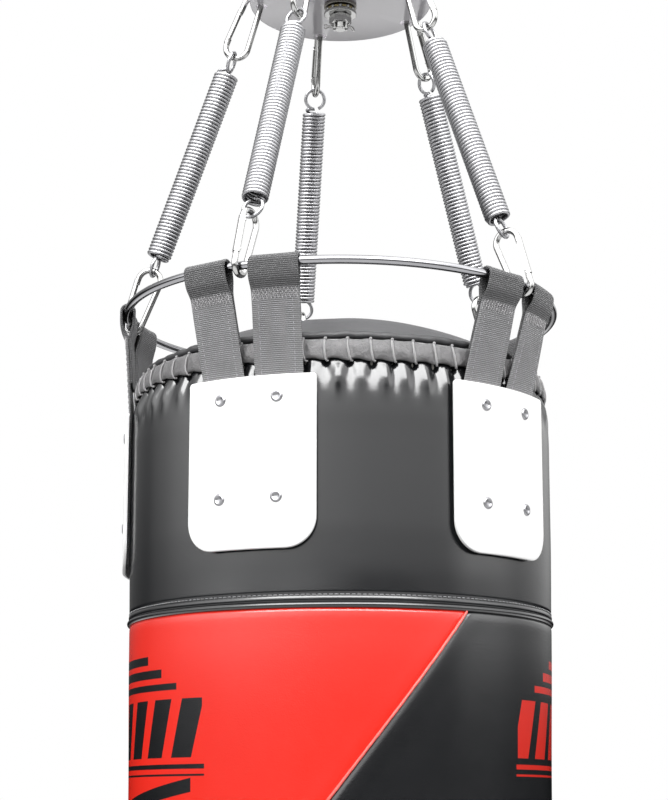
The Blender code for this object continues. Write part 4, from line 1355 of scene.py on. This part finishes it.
# The studio as (share of the way, brightness) stops. Round goes from the back by the left,
# the front and the right to the back. The others go from straight down to straight up.
STUDIO_ROUND = [(0.0, 0.05), (0.15, 0.05), (0.20, 0.25), (0.245, 0.62), (0.28, 0.92)]
STUDIO_ROUND += [(0.33, 1.25), (0.43, 1.05), (0.48, 0.72), (0.54, 0.56), (0.66, 0.50)]
STUDIO_ROUND += [(0.70, 1.15), (0.76, 0.85), (0.80, 0.42), (0.91, 0.28), (0.96, 0.08), (1.0, 0.05)]
STUDIO_WALLS = [(0.0, 0.05), (0.45, 0.03), (0.495, 0.0), (0.513, 0.01), (0.538, 0.72)]
STUDIO_WALLS += [(0.558, 0.95), (0.60, 1.0), (0.70, 0.75), (1.0, 0.4)]
STUDIO_FLOOR = [(0.0, 1.8), (0.38, 1.8), (0.43, 0.30), (0.46, 0.0), (1.0, 0.0)]
STUDIO_ROOF = [(0.0, 0.0), (0.55, 0.0), (0.62, 0.10), (0.72, 0.12), (0.82, 0.7), (1.0, 1.0)]
STUDIO_BOX_ROUND = [(0.0, 0.0), (0.32, 0.0), (0.37, 1.0), (0.62, 1.0), (0.68, 0.0), (1.0, 0.0)]
STUDIO_BOX_HIGH = [(0.0, 0.0), (0.640, 0.0), (0.675, 1.0), (0.83, 1.0), (0.87, 0.0), (1.0, 0.0)]
STUDIO_SOFT = [(0.0, 0.06), (0.38, 0.12), (0.50, 0.85), (0.60, 1.15), (1.0, 1.35)]
WALL_POWER, BOX_POWER, ROOF_POWER, SOFT_POWER = 4.2, 17.0, 3.5, 1.25


def build_world():
    """White to the camera. Everything else sees a studio: dark behind, a wide light on the left.

    Glossy surfaces also see a bright box high in front, which picks out folds and edges.
    """
    world = bpy.data.worlds.new("studio")
    bpy.context.scene.world = world
    world.use_nodes = True
    nodes = Nodes(world.node_tree)
    nodes.tree.nodes.clear()
    place = nodes.add("ShaderNodeTexCoord").outputs["Generated"]
    x, y, z = nodes.add("ShaderNodeSeparateXYZ", {0: place}).outputs
    turn = nodes.math("ARCTAN2", x, nodes.times(y, -1.0))
    around = nodes.share(turn, -math.pi, math.pi)
    up = nodes.share(nodes.math("ARCSINE", z), -math.pi / 2, math.pi / 2)
    walls = nodes.times(nodes.ramp(around, STUDIO_ROUND), nodes.ramp(up, STUDIO_WALLS))
    box = nodes.times(nodes.ramp(around, STUDIO_BOX_ROUND), nodes.ramp(up, STUDIO_BOX_HIGH))
    lit = nodes.plus(nodes.times(walls, WALL_POWER), nodes.times(box, BOX_POWER))
    roof = nodes.times(nodes.ramp(up, STUDIO_ROOF), ROOF_POWER)
    glossy = nodes.plus(lit, nodes.plus(nodes.ramp(up, STUDIO_FLOOR), roof))
    soft = nodes.times(nodes.ramp(up, STUDIO_SOFT), SOFT_POWER)

    def light(strength):
        inputs = {"Color": (1, 1, 1, 1), "Strength": strength}
        return nodes.add("ShaderNodeBackground", inputs).outputs[0]

    rays = nodes.add("ShaderNodeLightPath").outputs
    mixed = light(soft)
    for ray, strength in (("Is Glossy Ray", glossy), ("Is Camera Ray", 1.0)):
        inputs = {0: rays[ray], 1: mixed, 2: light(strength)}
        mixed = nodes.add("ShaderNodeMixShader", inputs).outputs[0]
    nodes.add("ShaderNodeOutputWorld", {0: mixed})


def build_stage():
    bpy.ops.mesh.primitive_plane_add(size=60, location=(0, 0, BASE_Z - 0.35))
    floor = bpy.context.object
    floor.name = "studio_floor"
    pale = (0.86, 0.86, 0.87, 1)
    floor.data.materials.append(Finish("studio_floor").done(pale, 0.7))
    floor.visible_diffuse = False
    floor.visible_glossy = False


def softbox(name, place, width, height, power):
    """A light that faces the bag's seam and that neither the camera nor a reflection sees."""
    light = bpy.data.lights.new(name, "AREA")
    light.shape = "RECTANGLE"
    light.size, light.size_y = width, height
    light.energy = power
    made = linked(name, light)
    made.location = place
    aim = Vector((0, 0, SEAM_Z)) - Vector(place)
    made.rotation_euler = aim.to_track_quat("-Z", "Y").to_euler()
    made.visible_camera = False
    made.visible_glossy = False


def build_lights():
    softbox("key_softbox", (-1.9, -2.1, SEAM_Z + 1.2), 1.6, 1.6, 38)
    softbox("fill_softbox", (2.2, -1.7, SEAM_Z + 0.4), 0.9, 2.2, 20)
    softbox("top_softbox", (0.1, -0.4, SEAM_Z + 2.3), 2.0, 2.0, 26)


def build_camera():
    """A view from below the seam, tipped up ten degrees."""
    data = bpy.data.cameras.new("camera")
    data.lens = 83.41
    data.shift_x = -0.0079
    data.shift_y = 0.100
    made = linked("camera", data)
    made.location = (0, -1.545, SEAM_Z - 0.1474)
    made.rotation_euler = (math.radians(90 + 9.98), 0, 0)
    bpy.context.scene.camera = made


build_camera()
build_world()
build_lights()
build_stage()
build_shackle()
build_eye_bolt()
build_plate()
build_bearing()
build_castle_nut()
build_cotter_pin()
build_chains()
build_ring()
build_upper_band()
build_piping("upper_piping_cord", "upper_piping", SEAM_Z)
build_piping("lower_piping_cord", "lower_piping", LOWER_SEAM_Z)
stitch_row("upper_seam_stitches", SEAM_Z + SEAM_STITCH_OFFSET)
stitch_row("lower_seam_stitches", LOWER_SEAM_Z - SEAM_STITCH_OFFSET)
build_panels()
build_slant_welt()
build_lower_band()
build_base()
build_cover()
build_painted_gap_shadow()
build_hem()
build_lacing()
build_straps()
for chain_number in CHAINS:
    build_patch(chain_number)
build_rivets()
build_filling()
bpy.context.scene.view_settings.view_transform = "Standard"
